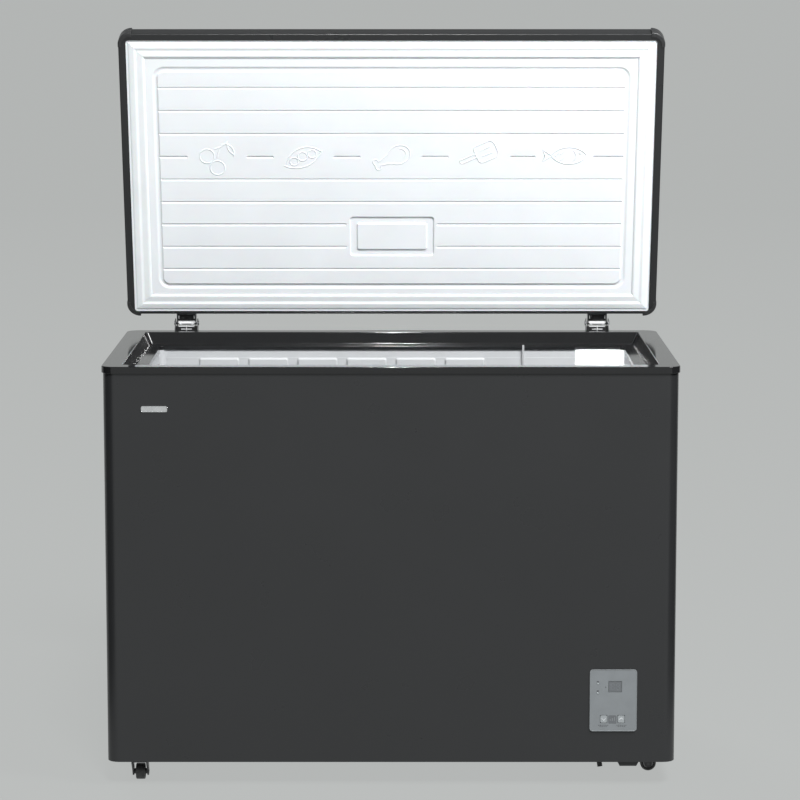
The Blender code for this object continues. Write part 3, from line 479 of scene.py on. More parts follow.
def make_collar():
    """One moulding: skirt, flat rim, sloped inner wall, ledge and lip, with its edges rounded."""
    t = 0.0025          # wall thickness
    rings = [frame_ring(EDGE, 0.0003, FRAME_SKIRT, FRAME_RADIUS),
             frame_ring(EDGE, 0, FRAME_SKIRT - 0.0004, FRAME_RADIUS)]
    outer, inner = 0.0015, 0.0021       # how far the rim's two edges are rounded
    for a, b in arc(0, 0, outer, 0, 90, 5):
        rings.append(frame_ring(EDGE, outer - a, outer - b, FRAME_RADIUS - outer + a))
    for a, b in arc(0, 0, inner, 90, 16, 6):
        rings.append(frame_ring(RIM, a - inner, inner - b, 0.0085))
    for section in (
            (SLOPE, -0.0008, SLOPE_DROP - 0.0014, 0.0068), (SLOPE, -0.0002, SLOPE_DROP - 0.0004, 0.0065),
            (SLOPE, 0.0006, SLOPE_DROP + 0.0001, 0.0065), (LEDGE, -0.0008, SLOPE_DROP + 0.0007, 0.0075),
            (LEDGE, -0.0003, SLOPE_DROP + 0.0009, 0.0072), (LEDGE, 0, SLOPE_DROP + 0.0015, 0.007),
            (LEDGE, 0, LIP_DROP - 0.0003, 0.007), (LEDGE, -0.0004, LIP_DROP, 0.007),
            (LEDGE, GAP - t, LIP_DROP, 0.008), (LEDGE, GAP - t, SLOPE_DROP + t, 0.008),
            (SLOPE, -t, SLOPE_DROP + t, 0.008), (RIM, -t, t, 0.01), (EDGE, t, t, FRAME_RADIUS - t),
            (EDGE, t, FRAME_SKIRT, FRAME_RADIUS - t)):
        rings.append(frame_ring(*section))
    piece("opening_collar", loft(rings, closed=True), "frame", stands_for="top_frame", angle=40)


def make_tub():
    """The liner: a tub with a step over the compressor, with pressed panels on its rear wall."""
    hollow = [(-LINER_HALF_W, LINER_FLOOR), (STEP_X, LINER_FLOOR), (STEP_X, STEP_Z), (LINER_HALF_W, STEP_Z),
              (LINER_HALF_W, LINER_TOP), (-LINER_HALF_W, LINER_TOP)]
    tub = prism(hollow, "y", -LINER_HALF_D, LINER_HALF_D)
    bmesh.ops.recalc_face_normals(tub, faces=tub.faces)
    top = [face for face in tub.faces if face.calc_center_median().z > LINER_TOP - 0.001]
    bmesh.ops.delete(tub, geom=top, context="FACES_ONLY")
    inner = [edge for edge in tub.edges if not edge.is_boundary]
    bmesh.ops.bevel(tub, geom=inner, offset=LINER_RADIUS, segments=8, profile=0.5, affect="EDGES")
    item = piece("liner_tub", tub, "liner", stands_for="inner_liner")
    item.modifiers.remove(item.modifiers["Normals"])
    modify(item, "Sheet", "SOLIDIFY", thickness=LINER_T * 0.9, offset=1, use_even_offset=True)
    modify(item, "Creases", "EDGE_SPLIT", split_angle=radians(30))
    modify(item, "Normals", "WEIGHTED_NORMAL")
    # The rear wall stands proud below the panels' top, and the panels stand further out
    count, first, pitch, width, top = 6, -0.3975, 0.1013, 0.0835, 0.767
    margin = LINER_RADIUS + 0.001
    x_end = LINER_HALF_W - margin
    foot, step_foot, riser = LINER_FLOOR + margin, STEP_Z + margin, STEP_X - margin
    field = [(-x_end, foot), (riser, foot), (riser, step_foot), (x_end, step_foot), (x_end, top), (-x_end, top)]
    pressed = prism(field, "y", LINER_HALF_D - 0.0011, LINER_HALF_D + 0.0002)
    for i in range(count):
        x0 = first + pitch * i
        x1 = x0 + width
        rings = []
        for inset, height, radius in (
                (0, -0.0002, 0.005), (0.0002, 0.0012, 0.0048), (0.0028, 0.0047, 0.0036), (0.0034, 0.0052, 0.0032),
                (0.0044, 0.0054, 0.0028)):
            outline = rounded(x0 + inset, x1 - inset, foot + 0.006 + inset, top - inset, radius, 0, 8)
            rings.append([(x, LINER_HALF_D - height, z) for x, z, _ in outline])
        loft(rings, into=pressed)
    piece("liner_pressed_panels", pressed, "liner", angle=25)
    # The sensor's rail hooks over the lip and runs down the rear wall
    low, high, middle = local_box("sensor_strip")
    half, lip = 0.0022, low.y + 0.0035
    foot = FRAME_TOP - LIP_DROP
    outline = [(high.y, low.z), (high.y, foot - 0.001), (lip, foot), (lip, high.z), (low.y, high.z), (low.y, low.z)]
    rail = prism(outline, "x", middle.x - half, middle.x + half)
    piece("sensor_rail", rail, "rail", stands_for="sensor_strip", bevel=0.0006)


def make_grille():
    """Side grille: a flanged frame with slanted louvres."""
    low, high, _ = local_box("side_vent_grille")
    border = 0.021
    rings = []
    for inset, x, radius in (
            (0.0004, HALF_W + GAP, 0.004), (0, HALF_W + 0.0008, 0.004), (0, HALF_W + 0.0012, 0.004),
            (0.0008, high.x, 0.0034), (border - 0.001, high.x, 0.003), (border, high.x - 0.0006, 0.0025),
            (border, HALF_W - 0.004, 0.0025), (border - 0.002, HALF_W - 0.004, 0.003),
            (border - 0.002, HALF_W + GAP, 0.003)):
        outline = rounded(low.y + inset, high.y - inset, low.z + inset, high.z - inset, radius, 0, 5)
        rings.append([(x, y, z) for y, z, _ in outline])
    made = loft(rings, closed=True)
    louvres, reach = 11, 0.0058
    bottom = low.z + border
    pitch = (high.z - border - bottom) / louvres
    for i in range(louvres):
        z = bottom + pitch * (i + 0.5)
        blade = [(HALF_W + 0.001, z - 0.0042), (HALF_W + 0.0014, z - 0.0034), (HALF_W - reach + 0.0012, z + 0.0052),
                 (HALF_W - reach, z + 0.0044)]
        rings = [[(x, y, zz) for x, zz in blade] for y in (low.y + border - 0.001, high.y - border + 0.001)]
        loft(rings, into=made)
    piece("side_louvre_grille", made, "black", stands_for="side_vent_grille")


# ---- lid

def lid_ring(inset, z, radius, lip=(0, 0, 0)):
    """A ring inward of the lid's edge, or of the inner edge of its lip."""
    side, front, rear = [inset + width for width in lip]
    return rounded(-LID_HALF_W + side, LID_HALF_W - side, -LID_HALF_D + front, LID_HALF_D - rear, radius, z)


def lid_crown(radius, steps):
    """The rings round the top edge, from the side wall up to the flat top."""
    rings = []
    for a, b in arc(0, LID_TOP - LID_EDGE, radius, 0, 90, steps):
        rings.append(lid_ring(LID_EDGE - a, b, max(LID_RADIUS - LID_EDGE + a, 0.001)))
    return rings


def make_lid_shell():
    t = SKIN
    outer = [lid_ring(0, LID_BOTTOM + 0.0003, LIP_RADIUS, LIP), lid_ring(-0.0004, LID_BOTTOM, LIP_RADIUS, LIP)]
    for a, b in arc(0, 0, 0.002, 90, 0, 4):
        outer.append(lid_ring(0.002 - a, LID_BOTTOM + 0.002 - b, LID_RADIUS - 0.002 + a))
    outer += lid_crown(LID_EDGE, 12)
    inner = [lid_ring(0, LID_BOTTOM + t, LIP_RADIUS, LIP), lid_ring(t, LID_BOTTOM + t, LID_RADIUS - t)]
    inner += lid_crown(LID_EDGE - t, 8)
    piece("lid_shell", loft(inner[::-1] + outer), "paint", "lid", LID, stands_for="lid_outer_panel", angle=40)


def box_distance(x, y, box, radius):
    """Signed distance to a rounded rectangle, negative inside it."""
    x0, y0, x1, y1 = box
    dx = abs(x - (x0 + x1) / 2) - (x1 - x0) / 2 + radius
    dy = abs(y - (y0 + y1) / 2) - (y1 - y0) / 2 + radius
    return hypot(max(dx, 0), max(dy, 0)) + min(max(dx, dy), 0) - radius


def ramp(value, start, end):
    t = min(1.0, max(0.0, (value - start) / (end - start)))
    return t * t * (3 - 2 * t)


def groove_runs():
    """Each groove's y and the x-stretches that it covers. One is broken into dashes between the symbols."""
    count, first, pitch, dash_row = 9, -0.1902, 0.0489, 3
    left, right = FIELD[0] + 0.001, FIELD[2] - 0.001
    runs = []
    for row in range(count):
        y = first + pitch * row
        if row == dash_row:
            runs.append((y, [(left, -0.418), (-0.295, -0.242), (-0.1175, -0.0645), (0.062, 0.1155), (0.242, 0.293),
                             (0.412, right)]))
        elif RING_OUTER[1] < y < RING_OUTER[3]:
            runs.append((y, [(left, -0.094), (0.0936, right)]))
        else:
            runs.append((y, [(left, right)]))
    return runs


GROOVE_RUNS = groove_runs()


def lining_depth(x, y):
    """How far the lining's face lies behind its flat, from 0 to about 3 mm."""
    field = box_distance(x, y, FIELD, FIELD_RADIUS)
    depth = 0.0016 * ramp(field, -0.0008, 0.0008) * (1 - ramp(field, 0.0048, 0.0105))
    for groove_y, runs in GROOVE_RUNS:
        across = y - groove_y
        if -0.001 < across < 0.006:
            full = 0.0012 if len(runs) < 3 else 0.0019      # the dashes are cut deeper
            for start, end in runs:
                along = ramp(x, start - 0.0008, start + 0.0008) * (1 - ramp(x, end - 0.0005, end + 0.0005))
                cut = ramp(across, -0.0008, 0.0007) * (1 - ramp(across, 0.001, 0.0054))
                depth = max(depth, full * along * cut)
    outside = box_distance(x, y, RING_OUTER, 0.007)
    inside = box_distance(x, y, RING_INNER, 0.004)
    ring = ramp(-outside, -0.0006, 0.001) * ramp(inside, -0.001, 0.0006)
    return max(depth, 0.0021 * ring)


def grid_lines(low, high, coarse, spots):
    """Positions from low to high: close together round each spot (from, to, spacing), else wide apart."""
    found = [low, high]
    for start, end, spacing in spots:
        steps = max(1, round((end - start) / spacing))
        found += [start + (end - start) * i / steps for i in range(steps + 1)]
    lines = []
    for value in sorted(found):
        if not lines or value - lines[-1] > 0.00025:
            lines.append(value)
    filled = []
    for value, following in zip(lines, lines[1:]):
        steps = max(1, ceil((following - value) / coarse))
        filled += [value + (following - value) * i / steps for i in range(steps)]
    return filled + [lines[-1]]


def make_lining():
    """The white sheet inside the lid, pressed with grooves, a border and a ring."""
    tuck = 0.0045           # how far the sheet reaches under the lip
    x1, y0, y1 = LID_HALF_W - LIP[0] + tuck, -LID_HALF_D + LIP[1] - tuck, LID_HALF_D - LIP[2] + tuck
    outline = (-x1, y0, x1, y1)
    corner = 0.01
    x_spots = [(side * FIELD[2] - 0.016, side * FIELD[2] + 0.012, 0.0011) for side in (-1, 1)]
    y_spots = [(FIELD[1] - 0.011, FIELD[1] + 0.015, 0.0011), (FIELD[3] - 0.015, FIELD[3] + 0.011, 0.0011)]
    for box, reach in ((RING_OUTER, 0.008), (RING_INNER, 0.005)):
        x_spots += [(box[0] - 0.001, box[0] + reach, 0.0008), (box[2] - reach, box[2] + 0.001, 0.0008)]
        y_spots += [(box[1] - 0.001, box[1] + reach, 0.0008), (box[3] - reach, box[3] + 0.001, 0.0008)]
    for y, runs in GROOVE_RUNS:
        y_spots.append((y - 0.0008, y + 0.0056, 0.0006))
        x_spots += [(x - 0.0009, x + 0.0009, 0.0006) for run in runs for x in run if abs(x) < FIELD[2] - 0.005]
    columns = grid_lines(-x1, x1, 0.03, x_spots)
    rows = grid_lines(y0, y1, 0.03, y_spots)
    made = bmesh.new()
    grid = []
    for y in rows:
        line = []
        for x in columns:
            outside = box_distance(x, y, outline, corner)
            px, py = x, y
            if outside > 0:
                centre = Vector((copysign(x1 - corner, x), y1 - corner if y > 0 else y0 + corner))
                px, py = centre + (Vector((x, y)) - centre).normalized() * corner
            line.append(made.verts.new((px, py, FACE + lining_depth(px, py))))
        grid.append(line)
    for low, high in zip(grid, grid[1:]):
        for i in range(len(columns) - 1):
            made.faces.new((low[i], low[i + 1], high[i + 1], high[i]))
    rim = grid[0][:-1] + [line[-1] for line in grid[:-1]] + grid[-1][:0:-1] + [line[0] for line in grid[:0:-1]]
    back = [made.verts.new((vertex.co.x, vertex.co.y, LINING_HIGH.z)) for vertex in rim]
    for i, vertex in enumerate(rim):
        j = (i + 1) % len(rim)
        made.faces.new((vertex, rim[j], back[j], back[i]))
    made.faces.new(back)
    bmesh.ops.remove_doubles(made, verts=made.verts, dist=0.00004)
    piece("lid_lining", made, "white", "lid", LID, stands_for="lid_inner_panel", angle=60)


def make_gasket():
    """Four ribbed bars, mitred at the corners, with a hair's gap at each mitre."""
    low, high, _ = local_box("lid_gasket", LID)
    tall = high.z - low.z
    # (distance from the lip, share of the height): outer flange, rib, valley, rib
    section = [(0.0042, -0.0002), (0.0052, 0.1), (0.0072, 0.24), (0.0145, 0.4), (0.0158, 0.44), (0.0168, 0.42),
               (0.0182, 0.34), (0.0205, 0.25), (0.0216, 0.23), (0.0228, 0.24), (0.03, 0.38), (0.032, 0.42),
               (0.0336, 0.39), (0.0352, 0.28), (0.0368, 0.1), (0.0372, -0.0002)]
    x_edge = LID_HALF_W - LIP[0]
    sides = ((1, -LID_HALF_D + LIP[1]), (-1, LID_HALF_D - LIP[2]))      # way inward and edge, front and rear
    slit = 0.00025

    def mitre(end, side, slit_x, slit_y):
        """The section at a corner, with its share of the gap."""
        way, edge = side
        return [(end * (x_edge - inset - slit_x), edge + way * (inset + slit_y), high.z - tall * h)
                for inset, h in section]

    made = bmesh.new()
    for side in sides:
        loft([mitre(end, side, slit, 0) for end in (-1, 1)], into=made)
    for end in (-1, 1):
        loft([mitre(end, side, 0, slit) for side in sides], into=made)
    piece("lid_ribbed_gasket", made, "gasket", "lid", LID, stands_for="lid_gasket", angle=50)


def ridge(made, points, closed):
    """A half-round line that stands out of the lining along (x, y) points."""
    width, height, sunk = 0.0024, 0.0008, 0.0004
    section = [(-width / 2, -sunk), (-width / 2, 0), (-width * 0.36, height * 0.62), (0, height),
               (width * 0.36, height * 0.62), (width / 2, 0), (width / 2, -sunk)]
    path = [Vector(point) for point in points]
    rings = []
    for i, point in enumerate(path):
        before = path[i - 1] if (i or closed) else point
        after = path[(i + 1) % len(path)] if (i < len(path) - 1 or closed) else point
        along = (after - before).normalized()
        across = Vector((-along.y, along.x))
        rings.append([(point.x + across.x * a, point.y + across.y * a, FACE - h) for a, h in section])
    loft(rings, closed=closed, into=made)


def make_symbols():
    """Five plain food signs between the dashes, drawn as raised lines: fruit, pod, drumstick, ice bar, fish."""

    def sign(name, middle, turn, lines):
        made = bmesh.new()
        rotate = Matrix.Rotation(radians(turn), 2)
        for points, closed in lines:
            placed = []
            for point in points:
                u, v = rotate @ Vector(point)
                placed.append((middle[0] + u, middle[1] - v))
            ridge(made, placed, closed)
        piece(name, made, "white", "lid", LID, angle=50)

    def circle(cx, cy, radius, steps=28, squeeze=1.0):
        return arc(cx, cy, radius, 0, 360 - 360 / steps, steps - 1, squeeze), True

    fruit = [circle(-0.02, 0.004, 0.015), circle(0.001, -0.021, 0.015),
             (arc(-0.012, 0.062, 0.043, -80, -38, 8), False), (arc(0.038, 0.0000, 0.037, 178, 128, 8), False),
             (arc(0.016, 0.011, 0.019, 110, -20, 10) + arc(0.041, 0.026, 0.019, 250, 165, 8), True)]
    sign("symbol_fruit", (-0.357, -0.0395), 0, fruit)
    pod = [(arc(0, -0.019, 0.044, 28, 152, 16) + arc(0, 0.042, 0.057, 222, 318, 16), True),
           circle(-0.02, 0.004, 0.0085, 18), circle(0, 0.007, 0.0095, 18), circle(0.02, 0.004, 0.0085, 18)]
    sign("symbol_pod", (-0.179, -0.0365), 24, pod)
    drumstick = [(arc(0.014, 0, 0.024, -150, 150, 26, 0.82) + [(-0.03, 0.0042)]
                  + arc(-0.035, 0.006, 0.0058, 40, 215, 8) + arc(-0.035, -0.006, 0.0058, 145, 320, 8)
                  + [(-0.03, -0.0042)], True),
                 (arc(0.014, 0, 0.015, -60, 60, 10, 0.82), False)]
    sign("symbol_drumstick", (0.002, -0.0405), 26, drumstick)
    bar = [(arc(0.01, 0.0105, 0.0085, 90, 180, 5) + arc(0.01, -0.0105, 0.0085, 180, 270, 5)
            + arc(0.034, -0.007, 0.012, -90, 0, 8) + arc(0.034, 0.007, 0.012, 0, 90, 8), True),
           (arc(-0.03, 0, 0.0042, 90, 270, 8) + [(0.001, -0.0042), (0.001, 0.0042)], True),
           ([(0.013, 0.0065), (0.034, 0.0065)], False), ([(0.013, -0.0065), (0.034, -0.0065)], False)]
    sign("symbol_ice_bar", (0.1715, -0.044), 24, bar)
    fish = [(arc(0.009, -0.03, 0.048, 42, 138, 16) + arc(0.009, 0.03, 0.048, 222, 318, 16), True),
            ([(-0.0275, 0.001), (-0.045, 0.013), (-0.04, 0), (-0.045, -0.013), (-0.0275, -0.001)], False),
            (arc(0.008, 0, 0.015, -48, 48, 8), False), circle(0.032, 0.0045, 0.0016, 8),
            ([(-0.002, 0.009), (-0.008, 0.002)], False), ([(-0.002, -0.003), (-0.008, -0.01)], False),
            ([(-0.012, 0.006), (-0.018, -0.001)], False)]
    sign("symbol_fish", (0.3535, -0.045), 0, fish)


def make_caps():
    """A rough moulded cap round each lower corner of the lid."""
    foot = 0.003            # radius of the lower outer edge
    for row, side_y in (("front", -1), ("rear", 1)):
        for side, side_x in (("left", -1), ("right", 1)):
            node = f"lid_corner_cap_{row}_{side}"
            low, high, _ = local_box(node, LID)
            cx, cy = LID_HALF_W - LID_RADIUS, LID_HALF_D - LID_RADIUS
            reach = cx - min(abs(low.x), abs(high.x))
            proud = max(abs(low.y), abs(high.y)) - LID_HALF_D
            side_proud = 0.0009
            path = [((cx + LID_RADIUS, cy - reach), (1, 0), side_proud)]
            for nx, ny in arc(0, 0, 1, 0, 90, 14):
                share = atan2(ny, nx) / (pi / 2)
                path.append(((cx + LID_RADIUS * nx, cy + LID_RADIUS * ny), (nx, ny),
                             side_proud + (proud - side_proud) * share))
            path.append(((cx - reach, cy + LID_RADIUS), (0, 1), proud))
            rings = []
            for (x, y), (nx, ny), t in path:
                section = [(-0.006, LID_BOTTOM - GAP), (-0.0018, LID_BOTTOM - GAP), (GAP, LID_BOTTOM + 0.0018),
                           (GAP, high.z), (t - 0.0006, high.z), (t, high.z - 0.0006)]
                section += [(t - foot + a, low.z + foot - b) for a, b in arc(0, 0, foot, 0, 90, 4)]
                section.append((-0.006, low.z))
                rings.append([(side_x * (x + nx * n), side_y * (y + ny * n), z) for n, z in section])
            piece(f"corner_cap_{row}_{side}", loft(rings), "cap", "lid", LID, stands_for=node, bevel=0.0003)


def make_hinge_fillings():
    """A black fill in each leaf, a barrel, arms and pins that swing with the lid; stops and a black block on the
    cabinet, whose black is painted shade inside the bracket.
    """
    cheek = 0.0018          # thickness of the hinge's sheet and a gap
    pivot_y, pivot_z = (CABINET.inverted() @ PIVOT).yz
    for side in ("left", "right"):
        low, high, middle = local_box(f"hinge_leaf_{side}", LID)
        x = middle.x
        half = high.x - x - cheek
        rear = low.y + cheek
        # A black block fills the leaf between its cheeks
        outline = [(rear, 0.8262), (pivot_y - 0.005, 0.8268), (pivot_y - 0.005, 0.8345), (low.y + 0.0112, 0.84),
                   (low.y + 0.006, 0.854), (rear, 0.855)]
        piece(f"hinge_black_fill_{side}", prism(outline, "x", x - half, x + half), "black", "lid", LID, bevel=0.0006)
        tube = [(0.0031, -0.016), (0.0036, -0.0165), (0.004, -0.016), (0.004, 0.016), (0.0036, 0.0165),
                (0.0031, 0.016)]
        # The barrel is pale zinc too: its colour paints the highlight along it
        barrel = turned(tube, 24, "x", (x, pivot_y, pivot_z))
        piece(f"hinge_barrel_{side}", barrel, "chrome", "lid", bevel=0.0002)
        # Two arms in front of the barrel, drawn as they stand with the lid open, in pale zinc whose colour paints
        # their highlight
        arms = bmesh.new()
        front = pivot_y - 0.004
        for end in (-1, 1):
            arm = [(x + end * 0.0188, pivot_z + 0.0018), (x + end * 0.0164, pivot_z + 0.0032),
                   (x + end * 0.01, pivot_z - 0.0026), (x + end * 0.0124, pivot_z - 0.0042)]
            prism(arm, "y", front - 0.0012, front, arms)
        piece(f"hinge_arms_{side}", arms, "chrome", "lid", bevel=0.0002)
        # A pin along each side of the black fill, in pale zinc whose colour paints its highlight
        pins = bmesh.new()
        pin = [(0, 0.0028), (0.0011, 0.0032), (0.0011, 0.0098), (0, 0.0102)]
        for end in (-1, 1):
            turned(pin, 12, "y", (x + end * 0.016, rear, 0.8256), pins)
        piece(f"hinge_side_pins_{side}", pins, "chrome", "lid", LID)
        _, high, middle = local_box(f"hinge_bracket_{side}")
        x = middle.x
        half = high.x - x - cheek
        # Painted shade: a black block fills the bracket above its web, where the bracket's inside lies in shade
        outline = [(pivot_y - 0.0085, 0.8128), (pivot_y + 0.006, 0.8128), (pivot_y + 0.007, 0.8175),
                   (pivot_y + 0.0046, 0.8215), (pivot_y - 0.003, 0.8218), (pivot_y - 0.0085, 0.823)]
        piece(f"hinge_painted_shade_block_{side}", prism(outline, "x", x - half, x + half), "black", bevel=0.0006)
        # Stops in pale zinc, whose colour paints their highlight
        stops = bmesh.new()
        front = pivot_y - 0.0092
        for z, short in ((0.816, 0.011), (0.8215, 0.0056)):
            end = half - short
            bar = [(0, -end), (0.0009, 0.0002 - end), (0.0009, end - 0.0002), (0, end)]
            turned(bar, 10, "x", (x, front, z), stops)
        post = [(0, 0.814), (0.001, 0.8142), (0.001, 0.8246), (0, 0.825)]
        turned(post, 12, "z", (x, front - 0.0012, 0), stops)
        piece(f"hinge_stops_{side}", stops, "chrome")


# ---- front fittings

def printed(y):
    """Front and back of a print on a face at depth y."""
    return y - 0.00012, y + 0.0002


def tile(cx, cz, half_w, half_h, depth, into, radius=0.0003, steps=2):
    """A small printed plate round a middle, between two depths."""
    return plate(cx - half_w, cx + half_w, cz - half_h, cz + half_h, radius, *depth, into, steps)


def make_panel():
    """A raised border, and everything printed on the panel, its display and its buttons."""
    front = PANEL_LOW.y
    rings = []
    for inset, y in ((0, 0.0012), (0, -0.0001), (0.0003, -0.0003), (0.0012, -0.0003), (0.0015, -0.0001),
                     (0.0015, 0.0004)):
        rings.append(upright_ring(PANEL_LOW, PANEL_HIGH, inset, front + y, 0.006 - inset * 0.8, 8))
    piece("panel_border", loft(rings, closed=True), "trim")
    # Two blank digits of seven bars each
    low, _, middle = local_box("display_window")
    figures = bmesh.new()
    for digit in (-1, 1):
        cx, cz = middle.x + digit * 0.005, middle.z
        for row in (-1, 0, 1):
            tile(cx, cz + row * 0.006, 0.0022, 0.0005, printed(low.y), figures)
        for column in (-1, 1):
            for row in (-1, 1):
                tile(cx + column * 0.003, cz + row * 0.003, 0.0005, 0.0021, printed(low.y), figures)
    piece("display_figures", figures, "segments")
    ink = printed(front)
    x, z = PANEL_MIDDLE.x, PANEL_MIDDLE.z
    field = plate(x - 0.0094, x + 0.0065, z - 0.0455, z - 0.0292, 0.002, *ink, steps=4)
    piece("panel_icon_field", field, "display")
    # Dots above the lamps, rows of short ticks under the buttons and a round mark
    marks = bmesh.new()
    for lens in ("indicator_lens_upper", "indicator_lens_lower"):
        middle = local_box(lens)[2]
        tile(middle.x, middle.z + 0.00415, 0.0021, 0.00115, ink, marks, 0.0006, 3)
    for cx in (-0.019, 0.016):
        for row, (count, pitch) in enumerate(((6, 0.0034), (4, 0.004))):
            for i in range(count):
                tick = x + cx + (i - (count - 1) / 2) * pitch
                tile(tick, z - 0.04875 - 0.0022 * row, 0.0011, 0.00055, ink, marks)
    disc = [(0, ink[0]), (0.0011, ink[0]), (0.0011, ink[1]), (0, ink[1])]
    turned(disc, 16, "y", (x - 0.0148, 0, z + 0.0261), marks)
    piece("panel_dark_print", marks, "mark")
    # A pale ring, and three rising bars on the icon field
    pale = bmesh.new()
    ring = [(0.0007, ink[0]), (0.0014, ink[0]), (0.0014, ink[1]), (0.0007, ink[1])]
    turned(ring, 16, "y", (x + 0.0226, 0, z + 0.033), pale)
    for i in range(3):
        at = x - 0.0056 + 0.0041 * i
        plate(at - 0.0008, at + 0.0008, z - 0.04, z - 0.037 + 0.0022 * i, 0.0003, ink[0] - 0.0001, ink[1], pale, 2)
    piece("panel_pale_print", pale, "trim")
    # A chevron on each button: down on the left, up on the right
    chevron = [(-0.0038, -0.002), (0, 0.0018), (0.0038, -0.002), (0.0038, -0.0006), (0, 0.0032), (-0.0038, -0.0006)]
    for name, sense in (("button_left", -1), ("button_right", 1)):
        low, _, middle = local_box(name)
        made = prism([(middle.x + a, middle.z + sense * b) for a, b in chevron], "y", *printed(low.y))
        piece(f"{name}_sign", made, "ink", name)


def make_badge():
    """A blank plate with a raised border."""
    low, high, _ = local_box("badge")
    section = ((0, high.y), (0, low.y + 0.0003), (0.0003, low.y), (0.0011, low.y), (0.0014, low.y + 0.0004))
    made = loft([upright_ring(low, high, inset, y, 0.003 - inset, 6) for inset, y in section])
    piece("blank_badge", made, "silver", stands_for="badge")


# ---- casters and small parts

def make_casters():
    for place in ("front_left", "front_right", "rear_left", "rear_right"):
        _, high, middle = local_box(f"caster_plate_{place}")
        under = high.z - 0.0022         # underside of the plate
        screw = [(0, under - 0.0022), (0.002, under - 0.002), (0.0034, under - 0.001), (0.0036, under), (0, under)]
        made = bmesh.new()
        for dx in (-0.0195, 0.0195):
            for dy in (-0.0195, 0.0195):
                turned(screw, 14, "z", (middle.x + dx, middle.y + dy, 0), made)
        piece(f"caster_screws_{place}", made, "zinc")
        # The fork's pressed cheeks, a little thicker than the bare sheet
        name = f"caster_fork_{place}"
        fork = frame["nodes"][name]
        made = bmesh.new()
        made.from_mesh(fork.data)
        bmesh.ops.remove_doubles(made, verts=made.verts, dist=0.00002)
        made.normal_update()
        for vertex in made.verts:
            vertex.co += Vector((vertex.normal.x, vertex.normal.y, 0)) * 0.0012
        piece(f"fork_cheeks_{place}", made, "zinc", body_of(fork)[0], Matrix(), stands_for=name, bevel=0.0004)
        # Hub caps on the wheel's own body
        name = f"caster_wheel_{place}"
        low, high, middle = local_box(name)
        along_x = (high.x - low.x) < (high.y - low.y)
        face = (high.x - low.x if along_x else high.y - low.y) / 2 + 0.0002
        made = bmesh.new()
        for side in (-1, 1):
            ring = [(0.003, side * face), (0.005, side * face), (0.006, side * 0.0068), (0.01, side * 0.0068),
                    (0.01, side * 0.0062), (0.003, side * 0.0062)]
            turned(ring, 24, "x" if along_x else "y", middle, made)
        piece(f"wheel_hub_{place}", made, "hub", name)
        dress([f"caster_plate_{place}", f"caster_axle_{place}"], "zinc")
        dress([name], "nylon")


def dress_the_rest():
    """Finishes for the CAD nodes that show as they are."""
    for look, nodes in (
            ("faceplate", ["control_panel"]), ("display", ["display_window"]),
            ("lamp", ["indicator_lens_upper", "indicator_lens_lower"]), ("button", ["button_left", "button_right"]),
            ("board", ["control_board"]), ("steel", ["bottom_panel", "compressor_bay_housing"]),
            ("paint", ["compressor_base_plate"]), ("foam", ["cabinet_insulation", "lid_insulation"]),
            ("copper", ["evaporator_coil", "condenser_coil", "filter_drier", "discharge_tube", "suction_tube"]),
            ("grey", ["start_relay", "drain_plug"]), ("black", ["cord_gland", "drain_tube"])):
        dress(nodes, look)
    dress(["compressor"], "enamel", 50)
    for side in ("left", "right"):
        dress([f"hinge_{part}_{side}" for part in ("bracket", "pin", "spring", "leaf")], "hinge")


# ---- studio

def set_sheet(name, corners, look, place=Matrix()):
    """One flat sheet of the set."""
    data = bpy.data.meshes.new(name)
    data.from_pydata(corners, [], [(0, 1, 2, 3)])
    data.materials.append(look)
    item = add_object(name, data)
    item.matrix_world = place
    return item


def make_floor():
    """A pale sweep that lies under the casters and runs out of sight. It is a little brighter in front."""
    look = finish("studio_floor", (0.03, 0.031, 0.0305), 0.95, 0.004, 0.5, spread=0.02)
    tree = look.node_tree
    away = {"Value": coordinate(tree, "Object", "Y"), "From Min": -2.0, "From Max": 14.0}
    glow = two_tone(tree, add(tree, "ShaderNodeMapRange", away, "Result"), STUDIO_GREY, (0, 1), (1.005, 0.907))
    wire(tree, tree.nodes["Principled BSDF"],
         {"Specular IOR Level": 0.0, "Emission Strength": 1.0, "Emission Color": glow})
    reach = 300.0
    set_sheet("floor", [(-reach, -reach, 0), (reach, -reach, 0), (reach, reach, 0), (-reach, reach, 0)], look)


def make_flags():
    """A black flag at each side of the set. Only reflections show them, as dark bands on the round corners."""
    look = finish("flag_cloth", (0.004, 0.004, 0.004), 0.9, 0.1, 0.1)
    wire(look.node_tree, look.node_tree.nodes["Principled BSDF"], {"Specular IOR Level": 0.0})
    height = 1.4
    for name, x, near, far in (("flag_left", -1.15, -1.25, -0.05), ("flag_right", 1.15, -0.95, 0.24)):
        corners = [(x, near, 0), (x, far, 0), (x, far, height), (x, near, height)]
        flag = set_sheet(name, corners, look, CABINET)
        for ray in ("camera", "diffuse", "shadow", "transmission"):
            setattr(flag, f"visible_{ray}", False)


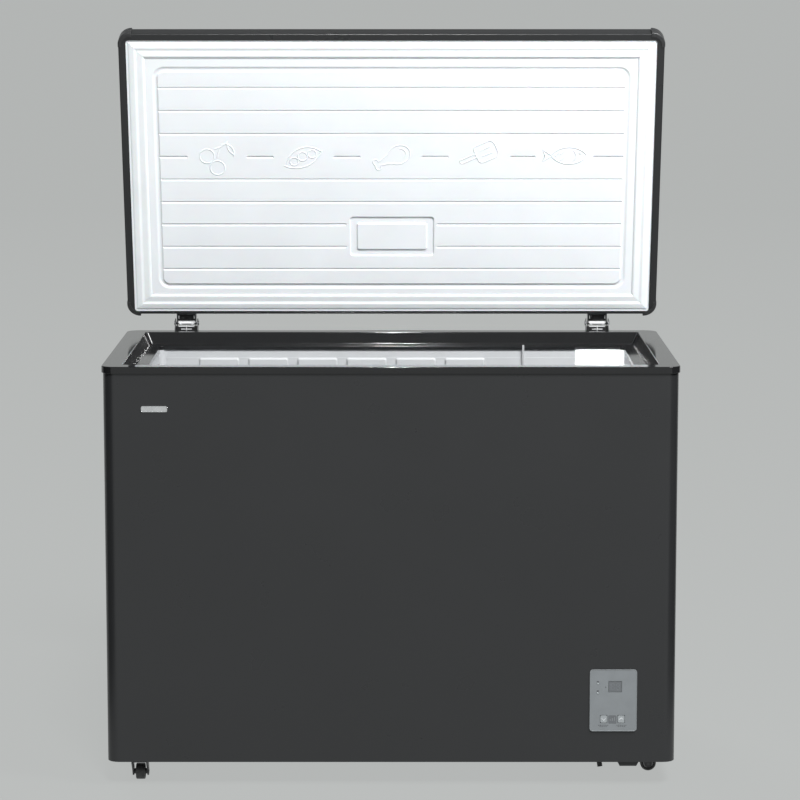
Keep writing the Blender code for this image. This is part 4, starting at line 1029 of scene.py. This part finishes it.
def lamp(name, kind, energy, at, aim, **settings):
    data = bpy.data.lights.new(name, kind)
    data.energy = energy
    for setting, value in settings.items():
        setattr(data, setting, value)
    item = add_object(name, data)
    item.location = at
    item.rotation_euler = (Vector(aim) - Vector(at)).to_track_quat("-Z", "Y").to_euler()
    return item


def make_lights():
    scene = bpy.context.scene
    scene.view_settings.view_transform = "Standard"
    # Walls that are bright near the floor and dim towards the ceiling
    world = bpy.data.worlds.new("studio")
    world.use_nodes = True
    tree = world.node_tree
    walls = two_tone(tree, coordinate(tree, "Generated", "Z"), STUDIO_GREY, (0.19, 0.52), (1.08, 0.28))
    wire(tree, tree.nodes["Background"], {"Color": walls})
    scene.world = world
    # The key stands high in front, a little to the right
    lamp("key", "SUN", 3.36, (0.13, -0.6, 0.788), (0, 0, 0), angle=radians(14)).visible_glossy = False
    # A soft box above, in front and to the right: it whitens the lid's upper right
    lamp("top_box", "AREA", 64, (1.45, -1.2, 2.65), (0.1, 0.2, 1.15), shape="SQUARE", size=0.7)
    # A small lamp high in the middle, seen only in gloss, draws short streaks on the edges
    lamp("streak", "AREA", 82, (0, -2.4, 3), (0, 0.1, 0.9), shape="DISK", size=0.12).visible_diffuse = False
    # A weak fill for the rear and the left side, seen in no gloss
    lamp("rear_fill", "SUN", 2.0, (-0.5, 1.1, 0.6), (0, 0, 0), angle=radians(30)).visible_glossy = False
    # A narrow light inside the tub, at its right end
    lamp("tub_glow", "AREA", 0.09, (0.434, 0.08, 0.762), (0.434, 0.2, 0.764), shape="RECTANGLE", size=0.104,
         size_y=0.038, spread=radians(5))


def make_camera():
    data = bpy.data.cameras.new("camera")
    data.lens = 138.4
    data.sensor_width = 36.0
    data.shift_x = -0.002
    data.clip_end = 1000.0
    item = add_object("camera", data)
    item.location = (0.0204, -6.0973, 1.5637)
    item.rotation_euler = (radians(82), 0, 0)
    bpy.context.scene.camera = item


# ---- the whole freezer

for make in (make_camera, make_looks, make_cabinet, make_collar, make_tub, make_grille, make_lid_shell, make_lining,
             make_gasket, make_symbols, make_caps, make_hinge_fillings, make_panel, make_badge, make_casters,
             dress_the_rest, make_floor, make_flags, make_lights):
    make()
